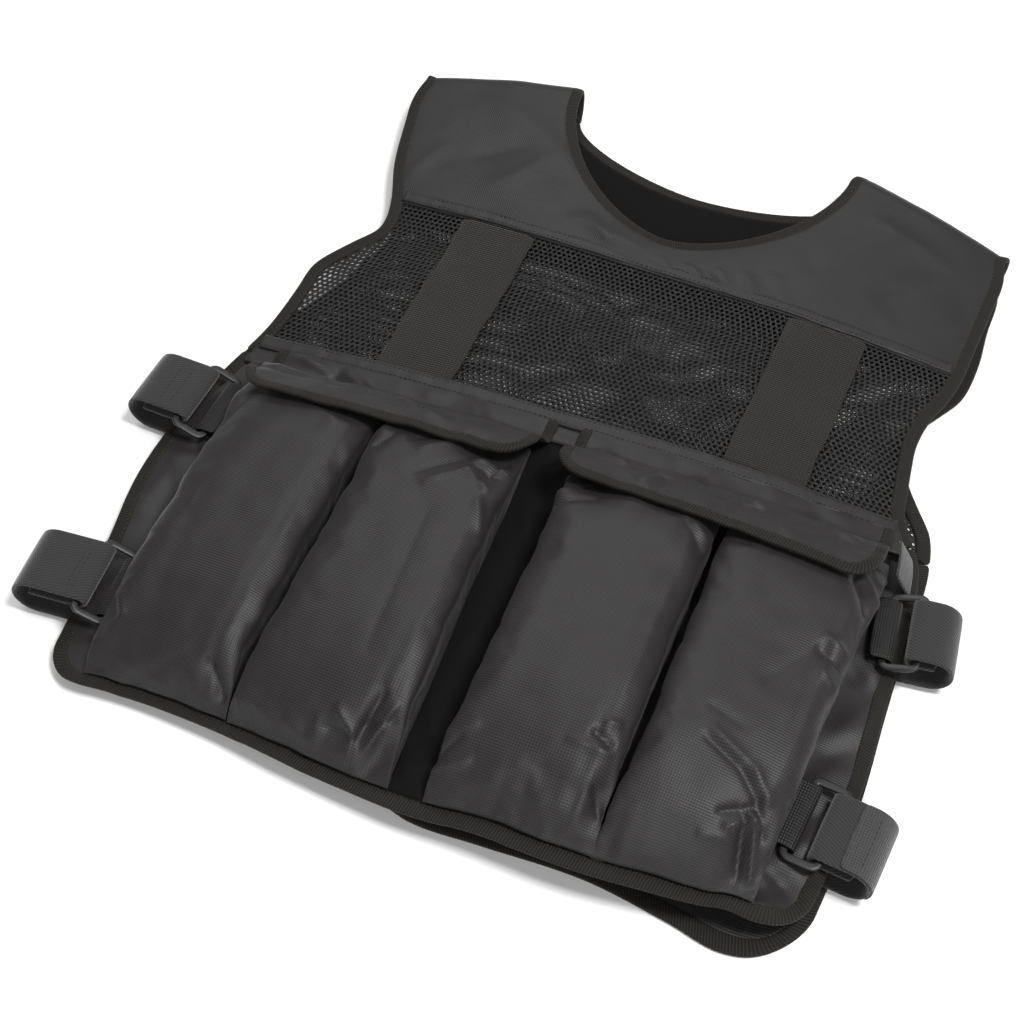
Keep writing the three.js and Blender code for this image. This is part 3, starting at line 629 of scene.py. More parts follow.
def rim(count: int, squareness: float = 0.55) -> Array:
    """A flat oval section from -0.5 to 0.5 both ways, closed, with the first point again at the end."""
    turn = np.linspace(0, 2 * math.pi, count + 1)
    c, s = np.cos(turn), np.sin(turn)
    return 0.5 * np.stack([np.sign(c) * np.abs(c) ** squareness, np.sign(s) * np.abs(s) ** squareness], axis=1)


class Workshop:
    """What every sub-assembly shares: the pattern, the finishes, and how a piece joins the vest."""

    def __init__(self, pattern: Pattern, finishes: Finishes) -> None:
        """Keeps the pattern and the finishes."""
        self.pattern = pattern
        self.finishes = finishes
        self.seams: list[Array] = []

    def join(self, piece: bpy.types.Object, finish: bpy.types.Material, slot: Slot,
             *nodes: str) -> bpy.types.Object:
        """Gives a piece its finish and its place on the vest.

        Args:
            piece: the object.
            finish: its material.
            slot: the record's slot for the finish; not used.
            nodes: the solids that it stands for.

        Returns:
            The object.
        """
        piece.data.materials.clear()
        piece.data.materials.append(finish)
        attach(piece, "root")
        if nodes:
            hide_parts(*nodes)
        LOG.info("%s: %d faces", piece.name, len(piece.data.polygons))
        return piece


# Creases of the front, in mm on the pattern: ends, width and height
RIPPLES = (
    Fold(168, 2, 196, 12, 9, 4.5),
    Fold(186, 30, 206, 22, 8, -2.5),
    Fold(196, 52, 214, 56, 9, 3.0),
    Fold(-196, 2, -170, 6, 10, 2.5),
    Fold(-206, 60, -200, 90, 10, 2.0),
    Fold(30, -2, 60, 4, 12, 1.5),
    Fold(-90, -2, -60, 4, 12, 1.5),
    Fold(208, 120, 214, 150, 9, 3.0),
    Fold(-216, 120, -210, 150, 9, 3.0),
)
PANEL_FOLDS = (
    Fold(-214, 165, -197, 148, 6, 2.4),
    Fold(-206, 150, -200, 110, 5, -1.5),
    Fold(-206, 60, -198, 100, 6, 2.0),
    Fold(-190, 200, -175, 232, 6, 2.0),
    Fold(188, 178, 212, 157, 6, 3.8),
    Fold(194, 166, 214, 142, 5, -3.0),
    Fold(201, 150, 214, 182, 5, 3.2),
    Fold(196, 118, 212, 138, 5, 3.6),
    Fold(194, 104, 210, 118, 4, -2.4),
    Fold(190, 80, 208, 104, 6, 3.0),
    Fold(188, 66, 204, 74, 4, -2.4),
    Fold(183, 44, 204, 36, 5, 4.0),
    Fold(184, 34, 200, 27, 4, -3.0),
    Fold(184, 24, 193, 40, 4, 3.6),
    Fold(192, 54, 209, 45, 5, 3.4),
)
# Creases of the near-black painted shade sheet between the pockets, in mm on the pattern
GAP_SHADE_FOLDS = (
    Fold(-8, 62, 12, 30, 5, 3.0),
    Fold(-12, 40, 6, 12, 4, 2.4),
    Fold(-4, 20, 14, 26, 4, 2.4),
    Fold(6, 130, -6, 90, 4, 2.0),
    Fold(-8, 200, 8, 168, 4, 2.4),
    Fold(8, 236, -4, 214, 4, 3.0),
)
YOKE_FOLDS = (
    Fold(-150, 500, -60, 462, 16, 1.8),
    Fold(-170, 430, -110, 470, 14, -1.4),
    Fold(-120, 424, -84, 478, 9, 1.3),
    Fold(-60, 420, -10, 410, 10, 1.4),
    Fold(-52, 426, -30, 408, 5, 1.5),
    Fold(4, 409, 12, 398, 4, 1.2),
    Fold(23, 410, 33, 398, 4, 1.4),
    Fold(31, 411, 42, 398, 4, -1.2),
    Fold(40, 413, 51, 399, 4, 1.5),
    Fold(58, 417, 67, 400, 4, 1.4),
    Fold(74, 424, 86, 404, 5, 1.0),
    Fold(90, 420, 170, 470, 16, 1.6),
    Fold(96, 450, 138, 490, 10, 1.6),
    Fold(140, 432, 174, 476, 8, -1.6),
    Fold(150, 410, 190, 440, 8, 1.4),
    Fold(120, 500, 175, 480, 10, 1.4),
    Fold(-185, 405, -165, 450, 7, 1.4),
)
BAND_FOLDS = (
    Fold(-196, 264, -176, 250, 4, 1.6),
    Fold(-186, 252, -172, 262, 3, -1.2),
    Fold(-28, 250, 8, 247, 4, 1.4),
    Fold(190, 262, 178, 248, 4, 1.4),
)


class Panels(Workshop):
    """The plain cloth panels, the band, the nets and the yokes."""

    def outline(self, side: int, layer: Layer, distance: float) -> Array:
        """A side line moved in from the edge."""
        return inset(self.pattern.side_line(side, layer), distance, -side)

    def rows(self, layer: Layer, first: int, last: int, columns: int, gap: float) -> tuple[Array, Array]:
        """The grid of a panel between the two side lines.

        Args:
            layer: front or back.
            first: first station of the side lines.
            last: last station.
            columns: faces across.
            gap: how far the first and last rows keep from the seams, below zero to reach under them.

        Returns:
            Places across and along on the pattern, rows by columns.
        """
        lines = [self.outline(side, layer, self.pattern.under)[first:last + 1] for side in (-1, 1)]
        t = np.linspace(0, 1, columns + 1)
        grid = lines[0][:, None] * (1 - t)[None, :, None] + lines[1][:, None] * t[None, :, None]
        grid[0, :, 1] += gap
        grid[-1, :, 1] -= gap
        return grid[..., 0], grid[..., 1]

    def sheet(self, name: str, x: Array, y: Array, layer: Layer, thickness: float, lift: Array | float,
              levels: int = 1) -> bpy.types.Object:
        """A sheet over the front or at the back from a grid of pattern points.

        Args:
            name: name of the piece.
            x: places across, rows by columns.
            y: places along, rows by columns.
            layer: front or back.
            thickness: thickness of the cloth in mm.
            lift: how far the middle of the sheet lies above its place.
            levels: subdivision levels.

        Returns:
            The object.
        """
        flat_x, flat_y = x.ravel(), y.ravel()
        lifted = np.ravel(lift + np.zeros_like(x))
        if layer is Layer.FRONT:
            points = self.pattern.front(flat_x, flat_y, lifted)
        else:
            points = self.pattern.behind(flat_x, flat_y, -lifted, thickness)
        mesh = surface(points.reshape(*x.shape, 3), np.stack([x, y], axis=2))
        return link(name, mesh, subdivided(levels), thickened(thickness))

    def panels(self) -> None:
        """The front and back panels below the waist."""
        for layer in Layer:
            x, y = self.rows(layer, 0, WAIST_STATION, 78, 0)
            relief = folded(PANEL_FOLDS, x.ravel(), y.ravel()) + 1.1 * lumps(x.ravel(), y.ravel(), 26, 3.1)
            if layer is Layer.BACK:
                relief = 0.15 * (1 + lumps(x.ravel(), y.ravel(), 30, 7.7))
            t = np.linspace(0, 1, x.shape[1])
            flat = np.clip(np.minimum(t, 1 - t) * 45, 0, 1)[None] * np.clip((y - 7) / 8, 0, 1)
            piece = self.sheet(f"{layer.value.capitalize()}_panel_cloth", x, y, layer, self.pattern.cloth,
                               relief.reshape(x.shape) * flat, levels=1 if layer is Layer.FRONT else 0)
            self.join(piece, self.finishes.oxford, Slot.OXFORD, f"{layer.value}_panel")

    def gap_shade_strip(self) -> None:
        """A near-black matt sheet laid in the gap between the two pairs of pockets as painted shade of the deep
        channel.
        """
        p = self.pattern
        x, y = np.meshgrid(np.linspace(-17, 21, 20), np.linspace(8, p.waist - 8, 100))
        relief = 0.5 * lumps(x.ravel(), y.ravel(), 17, 6.3) + folded(GAP_SHADE_FOLDS, x.ravel(), y.ravel())
        piece = self.sheet("Pocket_gap_painted_shade", x, y, Layer.FRONT, 0.8,
                           p.cloth + 0.2 + np.abs(relief).reshape(x.shape), levels=0)
        self.join(piece, self.finishes.lining_and_shade, Slot.OXFORD)

    def band(self) -> None:
        """The doubled cloth band at the waist."""
        p = self.pattern
        low, high = p.waist - p.band / 2, p.waist + p.band / 2
        margin = p.tape_width - 1
        rows = []
        for y in np.linspace(low, high, 9):
            left, right = -p.half_width(-1, y)[0] + margin, p.half_width(1, y)[0] - margin
            rows.append(np.stack([np.linspace(left, right, 121), np.full(121, y)], axis=1))
        grid = np.stack(rows)
        x, y = grid[..., 0], grid[..., 1]
        lift = (p.tape + p.cloth) / 2 + p.gap
        relief = folded(BAND_FOLDS, x.ravel(), y.ravel()) + 0.25 * (1 + lumps(x.ravel(), y.ravel(), 22, 1.3))
        piece = self.sheet("Waist_band_cloth", x, y, Layer.FRONT, p.cloth, lift + relief.reshape(x.shape))
        self.join(piece, self.finishes.oxford, Slot.OXFORD, "front_band")
        ends = [(side * (p.half_width(side, high)[0] - margin + 1), high - 10) for side in (-1, 1)]
        self.hem_fold("Waist_hem_fold", np.array(ends), 10.5, 2.6, lift + p.cloth / 2 + 1.1)

    def yoke_grid(self, layer: Layer, drop: float) -> tuple[Array, Array]:
        """The grid of a yoke from the neck edge out to the sides and the seam."""
        p = self.pattern
        left, right = (self.outline(side, layer, p.under)[SEAM_STATION:] for side in (-1, 1))
        seam = np.linspace(left[0], right[0], 71)
        outer = np.concatenate([left[1:][::-1], seam, right[1:]])
        neck = inset(p.neck_line(drop, len(outer) - 1), p.under, 1)
        t = np.linspace(0, 1, 25)
        grid = neck[:, None] * (1 - t)[None, :, None] + outer[:, None] * t[None, :, None]
        return grid[..., 0], grid[..., 1]

    def over(self, x: Array, y: Array, lift: Array, thickness: float, fade: bool = False) -> Array:
        """Carries a grid of the front over both shoulders.

        Args:
            x: places across, rows by columns, from the left shoulder to the right one.
            y: places along.
            lift: distance out from the middle of the cloth, rows by columns.
            thickness: thickness of the cloth.
            fade: lets the lift run out under the fold.

        Returns:
            Points in mm, more rows by the same columns.
        """
        p = self.pattern
        turns = np.linspace(0, math.pi, FOLD_STEPS + 1)[1:]
        count = x.shape[1]
        front = p.front(x.ravel(), y.ravel(), lift.ravel()).reshape(*x.shape, 3)
        folds = []
        for row in (0, -1):
            folds.append(np.stack([p.fold(x[row], y[row], np.full(count, turn),
                                          lift[row] * ((1 + math.cos(turn)) / 2 if fade else 1), thickness)
                                   for turn in turns]))
        return np.concatenate([folds[0][::-1], front, folds[1]])

    def yokes(self) -> None:
        """The padded yoke over the chest and shoulders, and the one behind the neck."""
        p = self.pattern
        x, y = self.yoke_grid(Layer.FRONT, p.front_neck_drop)
        t = np.linspace(0, 1, x.shape[1])
        pad = 1.6 * np.sin(np.clip(t, 0, 1) * math.pi) ** 0.6
        relief = folded(YOKE_FOLDS, x.ravel(), y.ravel()) + 0.8 * lumps(x.ravel(), y.ravel(), 30, 5.2) \
            + 0.25 * lumps(x.ravel(), y.ravel(), 11, 2.2)
        lift = relief.reshape(x.shape) * np.sin(t * math.pi) ** 0.4 + pad - 0.2
        points = self.over(x, y, lift, p.yoke, fade=True)
        weave_x = np.concatenate([np.repeat(x[:1], FOLD_STEPS, 0), x, np.repeat(x[-1:], FOLD_STEPS, 0)])
        climb = np.arange(1, FOLD_STEPS + 1)[:, None] * 3.0
        weave_y = np.concatenate([y[:1] + climb[::-1], y, y[-1:] + climb])
        mesh = surface(points, np.stack([weave_x, weave_y], axis=2))
        mesh.flip_normals()
        piece = link("Front_yoke_cloth", mesh, subdivided(1), thickened(p.yoke))
        self.join(piece, self.finishes.bias, Slot.OXFORD, "front_yoke")
        x, y = self.yoke_grid(Layer.BACK, p.back_neck_drop)
        for row in (0, -1):
            y[row] -= p.gap
        relief = 0.2 * (1 + lumps(x.ravel(), y.ravel(), 30, 8.8)).reshape(x.shape)
        points = p.behind(x.ravel(), y.ravel(), -relief.ravel(), p.yoke).reshape(*x.shape, 3)
        mesh = surface(points, np.stack([x, y], axis=2))
        mesh.flip_normals()
        piece = link("Back_yoke_cloth", mesh, thickened(p.yoke))
        self.join(piece, self.finishes.bias, Slot.OXFORD, "back_yoke")
        # the side that faces up inside the neck is lined; its near-black colour is partly painted shade from
        # the front yoke
        piece.data.materials.append(self.finishes.lining_and_shade)
        piece.modifiers["Solidify"].material_offset = 1

    def hem_fold(self, name: str, ends: Array, width: float, thick: float, lift: float) -> None:
        """A turned-in edge of cloth over a seam, puckered by its two rows of stitches.

        Args:
            name: name of the piece.
            ends: its two ends on the pattern, at its lower edge.
            width: its width in mm.
            thick: its thickness.
            lift: how far its middle lies above the front cloth.
        """
        line = np.linspace(ends[0], ends[1], 241)
        section = rim(14, 0.6)
        x = line[:, 0][:, None] + np.zeros(15)[None]
        pucker = lumps(line[:, 0], line[:, 0] * 0, 5.5, width)
        sway = 0.7 * lumps(line[:, 0], line[:, 0] * 0, 24, thick)
        y = (line[:, 1] + sway)[:, None] + width * (0.5 + section[:, 0])[None]
        puff = thick * (1 + 0.3 * pucker)
        uneven = 0.3 * lumps(x.ravel(), y.ravel(), 14, 4.4).reshape(x.shape)
        lifts = lift + puff[:, None] * section[:, 1][None] + uneven
        points = self.pattern.front(x.ravel(), y.ravel(), lifts.ravel()).reshape(*x.shape, 3)
        piece = link(name, surface(points, np.stack([x, y], axis=2), closed=True))
        self.join(piece, self.finishes.oxford, Slot.OXFORD)
        for up in (0.22, 0.78):
            row = line[:, 1] + sway + up * width
            self.seams.append(self.pattern.front(line[:, 0], row, lift + puff * 0.46 + 0.1))

    def yoke_hem(self) -> None:
        """The turned-up edge of the yoke along its seam."""
        under_tape = self.pattern.tape_width - 1
        left, right = (self.outline(side, Layer.FRONT, under_tape)[SEAM_STATION] for side in (-1, 1))
        self.hem_fold("Yoke_hem_fold", np.array([left, right]), 8.5, 1.7, self.pattern.yoke / 2 + 0.5)

    def net(self, layer: Layer) -> None:
        """A net panel, knitted with staggered six-sided holes.

        Args:
            layer: front or back.
        """
        p = self.pattern
        pitch, row = 3.8, 3.35
        reach = 3.0
        x, y = self.rows(layer, WAIST_STATION, SEAM_STATION, 60, -reach)
        width = 404.0
        height = float(y[-1, 0] - y[0, 0])
        across, along = int(width / pitch), int(height / (2 * row))
        net = bmesh.new()
        net.loops.layers.uv.new("Weave")
        bmesh.ops.create_circle(net, cap_ends=True, segments=6, radius=0.5)
        # six-sided cell, one pitch wide, standing on a point
        for v in net.verts:
            a = round(math.degrees(math.atan2(v.co.x, v.co.y)) / 60) * 60 % 360
            wide = {0: 0, 60: 0.5, 120: 0.5, 180: 0, 240: -0.5, 300: -0.5}[a]
            high = {0: 0.667, 60: 0.333, 120: -0.333, 180: -0.667, 240: -0.333, 300: 0.333}[a]
            v.co = (wide, high, 0)
        inner = bmesh.ops.inset_individual(net, faces=net.faces, thickness=0.2, use_even_offset=True)
        hole = [f for f in net.faces if f not in inner["faces"]]
        bmesh.ops.delete(net, geom=hole, context="FACES")
        copy = bmesh.ops.duplicate(net, geom=net.verts[:] + net.edges[:] + net.faces[:])
        staggered = [part for part in copy["geom"] if isinstance(part, bmesh.types.BMVert)]
        bmesh.ops.translate(net, verts=staggered, vec=(0.5, 1.0, 0))
        mesh = bpy.data.meshes.new("net")
        net.to_mesh(mesh)
        net.free()
        piece = link(f"{layer.value.capitalize()}_net", mesh)
        for count, step in ((across, (1.0, 0, 0)), (along, (0, 2.0, 0))):
            array = piece.modifiers.new("Repeat", "ARRAY")
            array.count = count
            array.use_relative_offset = False
            array.use_constant_offset = True
            array.constant_offset_displace = step
            array.use_merge_vertices = True
            array.merge_threshold = 0.01
        mesh = bpy.data.meshes.new_from_object(piece.evaluated_get(bpy.context.evaluated_depsgraph_get()))
        piece.modifiers.clear()
        piece.data = mesh
        mesh.polygons.foreach_set("use_smooth", [True] * len(mesh.polygons))
        flat = np.empty(len(mesh.vertices) * 3)
        mesh.vertices.foreach_get("co", flat)
        flat = flat.reshape(-1, 3)
        s = (flat[:, 0] - flat[:, 0].min()) / np.ptp(flat[:, 0])
        t = (flat[:, 1] - flat[:, 1].min()) / np.ptp(flat[:, 1])
        ys = p.waist - reach + t * (p.seam - p.waist + 2 * reach)
        rows_y = y[:, 0]
        left, right = np.interp(ys, rows_y, x[:, 0]), np.interp(ys, rows_y, x[:, -1])
        xs = left + (right - left) * s
        drift = 1.1 * lumps(xs, ys, 30, 2.0 if layer is Layer.FRONT else 9.0)
        xs = xs + drift * np.sin(math.pi * s)
        if layer is Layer.FRONT:
            sag = (1.6 * lumps(xs, ys, 34, 6.0) + 0.8 * lumps(xs, ys, 13, 1.0)) * np.sin(math.pi * t) ** 0.5
            points = p.front(xs, ys, sag)
        else:
            points = p.behind(xs, ys, -0.2 * (1 + lumps(xs, ys, 34, 6.6)), p.net)
        mesh.vertices.foreach_set("co", (points * MM).ravel())
        uv = mesh.uv_layers["Weave"] if "Weave" in mesh.uv_layers else mesh.uv_layers.new(name="Weave")
        corners = np.empty(len(mesh.loops), dtype=np.int32)
        mesh.loops.foreach_get("vertex_index", corners)
        uv.data.foreach_set("uv", (np.stack([xs, ys], axis=1)[corners] * MM).ravel())
        mesh.update()
        modifier = piece.modifiers.new("Thread", "SOLIDIFY")
        modifier.thickness, modifier.offset = 1.1 * MM, 0.0
        self.join(piece, self.finishes.net, Slot.NET, f"{layer.value}_mesh")

    def build(self) -> None:
        """Builds every panel."""
        self.panels()
        self.gap_shade_strip()
        self.net(Layer.FRONT)
        self.net(Layer.BACK)
        self.band()
        self.yokes()
        self.yoke_hem()


# How far in from its inner edge a tape is sewn
SEWN_IN = 1.6


class Bindings(Panels):
    """Folded tape along the cut edges."""

    def strip(self, name: str, outer: Array, inner: Array,
              place: Callable[[Array, Array, Array], Array]) -> bpy.types.Object:
        """A folded tape between two lines.

        Args:
            name: name of the piece.
            outer: its outer line on the pattern.
            inner: its inner line.
            place: turns places across, along and lifts into points.

        Returns:
            The object.
        """
        section = rim(12)
        thick = self.pattern.tape
        share = 0.5 + section[:, 0]
        x = outer[:, 0][:, None] * (1 - share) + inner[:, 0][:, None] * share
        y = outer[:, 1][:, None] * (1 - share) + inner[:, 1][:, None] * share
        along = lengths(outer)
        pucker = 0.25 * np.sin(along * 1.7)[:, None]
        lift = np.broadcast_to(thick * section[:, 1], x.shape) * (1 + 0.12 * pucker)
        points = place(x, y, lift)
        girth = lengths(section * [12.0, thick])
        rows = points.shape[0]
        along = lengths(points[:, 0])
        weave = np.stack([np.broadcast_to(girth, (rows, len(girth))),
                          np.broadcast_to(along[:, None], (rows, len(girth)))], axis=2)
        return link(name, surface(points, weave, closed=True), subdivided(1))

    def front_place(self, x: Array, y: Array, lift: Array) -> Array:
        """Points over the front."""
        return self.pattern.front(x.ravel(), y.ravel(), lift.ravel()).reshape(*x.shape, 3)

    def back_place(self, x: Array, y: Array, lift: Array) -> Array:
        """Points at the back."""
        return self.pattern.behind(x.ravel(), y.ravel(), lift.ravel(), self.pattern.tape).reshape(*x.shape, 3)

    def neck(self) -> None:
        """The tape round the front and the back of the neck."""
        p = self.pattern
        line = evened(p.neck_line(p.front_neck_drop, 400), 121)
        line[0], line[-1] = p.neck_line(p.front_neck_drop, 2)[[0, -1]]
        piece = self.strip("Front_neck_binding_tape", line, inset(line, p.tape_width, 1),
                           lambda x, y, lift: self.over(x, y, lift, p.tape))
        self.join(piece, self.finishes.tape, Slot.TAPE, "front_neck_binding")
        sewn = inset(line, p.tape_width - SEWN_IN, 1)
        self.seams.append(p.front(sewn[:, 0], sewn[:, 1], p.tape / 2 - 0.2))
        line = evened(p.neck_line(p.back_neck_drop, 400), 91)
        inner = inset(line, p.tape_width, 1)
        for edge in (line, inner):
            edge[0, 1] -= p.gap
            edge[-1, 1] -= p.gap
        piece = self.strip("Back_neck_binding_tape", line, inner, self.back_place)
        self.join(piece, self.finishes.tape, Slot.TAPE, "back_neck_binding")

    def armholes(self) -> None:
        """The tape round each armhole, from the front over the shoulder to the back."""
        p = self.pattern
        for side, word in ((-1, "left"), (1, "right")):
            lines = {}
            for layer in Layer:
                outer = self.outline(side, layer, 0)[WAIST_STATION:]
                inner = self.outline(side, layer, p.tape_width)[WAIST_STATION:]
                outer[0, 1] += p.gap
                inner[0, 1] += p.gap
                lines[layer] = (outer, inner)
            behind = lines[Layer.BACK]

            def place(x: Array, y: Array, lift: Array, behind: tuple[Array, Array] = behind) -> Array:
                """Front, fold and back in one run."""
                turns = np.linspace(0, math.pi, FOLD_STEPS + 1)[1:]
                fold = np.stack([p.fold(x[-1], y[-1], np.full(x.shape[1], turn), lift[-1], p.tape)
                                 for turn in turns])
                share = 0.5 + rim(12)[:, 0]
                bx = behind[0][:, 0][:, None] * (1 - share) + behind[1][:, 0][:, None] * share
                by = behind[0][:, 1][:, None] * (1 - share) + behind[1][:, 1][:, None] * share
                back = self.back_place(bx[:-1][::-1], by[:-1][::-1], lift[:-1][::-1])
                return np.concatenate([self.front_place(x, y, lift), fold, back])

            outer, inner = lines[Layer.FRONT]
            piece = self.strip(f"Armhole_binding_tape_{word}", outer, inner, place)
            self.join(piece, self.finishes.tape, Slot.TAPE, f"armhole_binding_{word}")
            sewn = self.outline(side, Layer.FRONT, p.tape_width - SEWN_IN)[WAIST_STATION + 2:]
            self.seams.append(p.front(sewn[:, 0], sewn[:, 1], p.tape / 2 - 0.2))

    def hems(self) -> None:
        """The tape from the waist down one side, along the hem and up the other side."""
        p = self.pattern
        for layer in Layer:
            sides = [[self.outline(side, layer, distance)[:WAIST_STATION + 1] for side in (-1, 1)]
                     for distance in (0, p.tape_width)]
            rows = []
            for left, right in sides:
                hem = np.linspace(left[0], right[0], 100)[1:-1]
                rows.append(np.concatenate([left[::-1], hem, right]))
            place = self.front_place if layer is Layer.FRONT else self.back_place
            piece = self.strip(f"{layer.value.capitalize()}_hem_binding_tape", rows[0], rows[1], place)
            self.join(piece, self.finishes.tape, Slot.TAPE, f"{layer.value}_hem_binding")
            if layer is Layer.FRONT:
                sewn = rows[1] + (rows[0] - rows[1]) * (SEWN_IN / p.tape_width)
                self.seams.append(p.front(sewn[:, 0], sewn[:, 1], p.tape / 2 - 0.2))

    def build(self) -> None:
        """Builds every tape."""
        self.neck()
        self.armholes()
        self.hems()


@dataclass
class Webbing:
    """The two wide webbings over the front net."""

    shop: Workshop
    width: float = 50
    thickness: float = 1.6
    splay: float = 5
    middles: tuple[float, float] = (-0.466, 0.52)

    def build(self) -> None:
        """Builds both."""
        p = self.shop.pattern
        low, high = p.waist + p.band / 2 + p.gap, p.seam - 2 * p.gap
        lift = (p.net + self.thickness) / 2 + p.gap
        section = rim(26, 0.28)
        ys = np.linspace(low, high, 41)
        for middle, word in zip(self.middles, ("left", "right")):
            centre = p.half * middle + self.splay * ((ys - low) / (high - low) - 0.5)
            bend = 1.1 * lumps(ys * 0 + middle * 50, ys, 26, 1.7)
            x = (centre + bend)[:, None] + self.width * section[:, 0][None]
            y = ys[:, None] + 0 * x
            ease = 0.9 * (1 + lumps(x.ravel(), y.ravel(), 24, 3.3)).reshape(x.shape)
            points = p.front(x.ravel(), y.ravel(), (lift + ease + self.thickness * section[:, 1][None]).ravel())
            piece = link(f"Chest_webbing_{word}", surface(points.reshape(*x.shape, 3), np.stack([x, y], axis=2),
                                                          closed=True), subdivided(1))
            self.shop.join(piece, self.shop.finishes.webbing, Slot.WEBBING, f"webbing_{word}")


# Sections of a filled pocket from the hem end to the head: place, width, height
POCKET_SECTIONS = (
    (0.0, 1.03, 0.1),
    (0.03, 1.03, 0.32),
    (0.07, 1.02, 0.54),
    (0.12, 1.01, 0.74),
    (0.18, 1.0, 0.88),
    (0.26, 1.0, 0.96),
    (0.36, 1.0, 1.0),
    (0.72, 1.0, 1.0),
    (0.8, 0.995, 0.97),
    (0.87, 0.98, 0.88),
    (0.92, 0.96, 0.74),
    (0.96, 0.94, 0.56),
    (1.0, 0.9, 0.3),
)

# How high a flap rests over the heads, as shares of the pocket height
FLAP_REST = ((0.8, 0.99), (0.84, 0.96), (0.9, 0.89), (0.94, 0.8), (0.97, 0.68), (1.0, 0.5))


@dataclass(frozen=True)
class Dent:
    """A dent in a pocket: place and spread as shares of length and half width, depth of height."""

    at: float
    across: float
    long: float
    wide: float
    deep: float

    def depth(self, at: Array, across: Array) -> Array:
        """Its depth at places on the pocket."""
        far = ((at - self.at) / self.long) ** 2 + ((across - self.across) / self.wide) ** 2
        return self.deep * np.exp(-far)


@dataclass(frozen=True)
class Pocket:
    """A weight pocket: its sides as shares of the half width, its height share, dents and creases.

    The creases lie in mm on the pattern.
    """

    name: str
    foot: tuple[float, float]
    head: tuple[float, float]
    high: float
    dents: tuple[Dent, ...]
    folds: tuple[Fold, ...] = ()


POCKETS = (
    Pocket("pocket_1", (-0.838, -0.466), (-0.856, -0.449), 0.95,
           (Dent(0.78, -0.75, 0.16, 0.3, 0.1), Dent(0.12, -0.95, 0.06, 0.12, 0.12)),
           (Fold(-186, 50, -178, 38, 3.5, -2.4), Fold(-182, 51, -174, 41, 3, 1.4),
            Fold(-157, 213, -111, 215, 5, -2.0), Fold(-150, 206, -118, 194, 5, 1.6),
            Fold(-196, 169, -190, 203, 6, 1.8), Fold(-188, 160, -178, 196, 6, -1.4),
            Fold(-169, 126, -159, 43, 16, -0.9), Fold(-119, 33, -106, 20, 4, -3.0),
            Fold(-170, 22, -135, 18, 7, 1.2))),
    Pocket("pocket_2", (-0.45, -0.032), (-0.44, -0.05), 1.0,
           (Dent(0.04, 0.75, 0.07, 0.25, 0.3), Dent(0.9, 0.6, 0.07, 0.35, 0.22)),
           (Fold(-100, 187, -90, 203, 4, 2.2), Fold(-93, 184, -84, 199, 3, -2.2),
            Fold(-63, 173, -35, 201, 5, -2.0), Fold(-54, 168, -27, 193, 5, 1.8),
            Fold(-66, 190, -44, 209, 5, 1.8), Fold(-75, 196, -60, 206, 4, -1.6),
            Fold(-36, 197, -15, 195, 2.5, 2.4), Fold(-34, 191, -18, 188, 2.5, -2.4),
            Fold(-27, 180, -19, 203, 2.5, -2.0), Fold(-38, 186, -20, 176, 3, 1.8),
            Fold(-22, 168, -14, 150, 4, 1.6), Fold(-48, 19, -28, 18, 3, -2.6),
            Fold(-28, 18, -43, 28, 3, 2.6), Fold(-28, 18, -22, 42, 3, -3.4),
            Fold(-23, 16, -14, 38, 3, 2.8), Fold(-31, 22, -30, 9, 3, 2.2),
            Fold(-27, 24, -12, 33, 2.5, -2.6), Fold(-68, 17, -48, 12, 7, 2.2),
            Fold(-100, 26, -72, 15, 6, 1.4), Fold(-45, 150, -40, 60, 5, -0.8),
            Fold(-96, 22, -94, 12, 4, 1.6))),
    Pocket("pocket_3", (0.068, 0.469), (0.063, 0.477), 1.0,
           (Dent(0.9, -0.6, 0.06, 0.35, 0.28), Dent(0.1, 0.9, 0.06, 0.15, 0.16)),
           (Fold(11, 188, 34, 211, 3.5, 2.2), Fold(14, 182, 40, 196, 3, -2.2),
            Fold(12, 202, 20, 211, 3, 1.8), Fold(16, 196, 30, 203, 2.5, -2.0),
            Fold(22, 204, 62, 201, 5, 1.5), Fold(86, 54, 97, 50, 2.5, -3.4),
            Fold(76, 46, 97, 45, 3, 1.6), Fold(90, 60, 98, 62, 3, 1.4), Fold(12, 20, 24, 32, 2.5, -2.4),
            Fold(14, 16, 32, 23, 3, 1.8), Fold(15, 34, 30, 40, 3, 1.2), Fold(39, 17, 92, 16, 8, 1.4),
            Fold(60, 30, 90, 24, 6, -1.0), Fold(84, 202, 102, 190, 4, 1.6),
            Fold(88, 196, 101, 182, 3, -1.4), Fold(96, 30, 103, 18, 3, -2.6))),
    Pocket("pocket_4", (0.475, 0.829), (0.484, 0.905), 0.95,
           (Dent(0.08, 0.7, 0.1, 0.3, 0.2), Dent(0.88, 0.85, 0.08, 0.25, 0.25)),
           (Fold(134, 90, 156, 84, 4, -1.0), Fold(138, 72, 160, 62, 2.5, -2.2),
            Fold(140, 77, 163, 66, 4, 1.6), Fold(160, 62, 173, 50, 2.5, -2.4),
            Fold(165, 66, 178, 52, 4, 1.8), Fold(172, 51, 180, 36, 2.5, -2.4),
            Fold(161, 33, 174, 43, 3, 2.8), Fold(156, 38, 172, 47, 2.5, -2.8),
            Fold(166, 45, 179, 41, 2.5, 2.0), Fold(168, 44, 174, 17, 2.5, -3.2),
            Fold(174, 43, 180, 18, 3, 2.8), Fold(150, 26, 166, 30, 4, 1.4),
            Fold(187, 208, 202, 183, 4, 3.0), Fold(181, 205, 195, 177, 3, -3.0),
            Fold(192, 219, 204, 204, 3, 2.4), Fold(176, 146, 195, 137, 4, -2.4),
            Fold(178, 154, 197, 146, 4, 2.0), Fold(180, 134, 192, 126, 4, 1.6),
            Fold(156, 114, 178, 149, 8, -1.0), Fold(128, 205, 160, 200, 6, 1.2))),
)


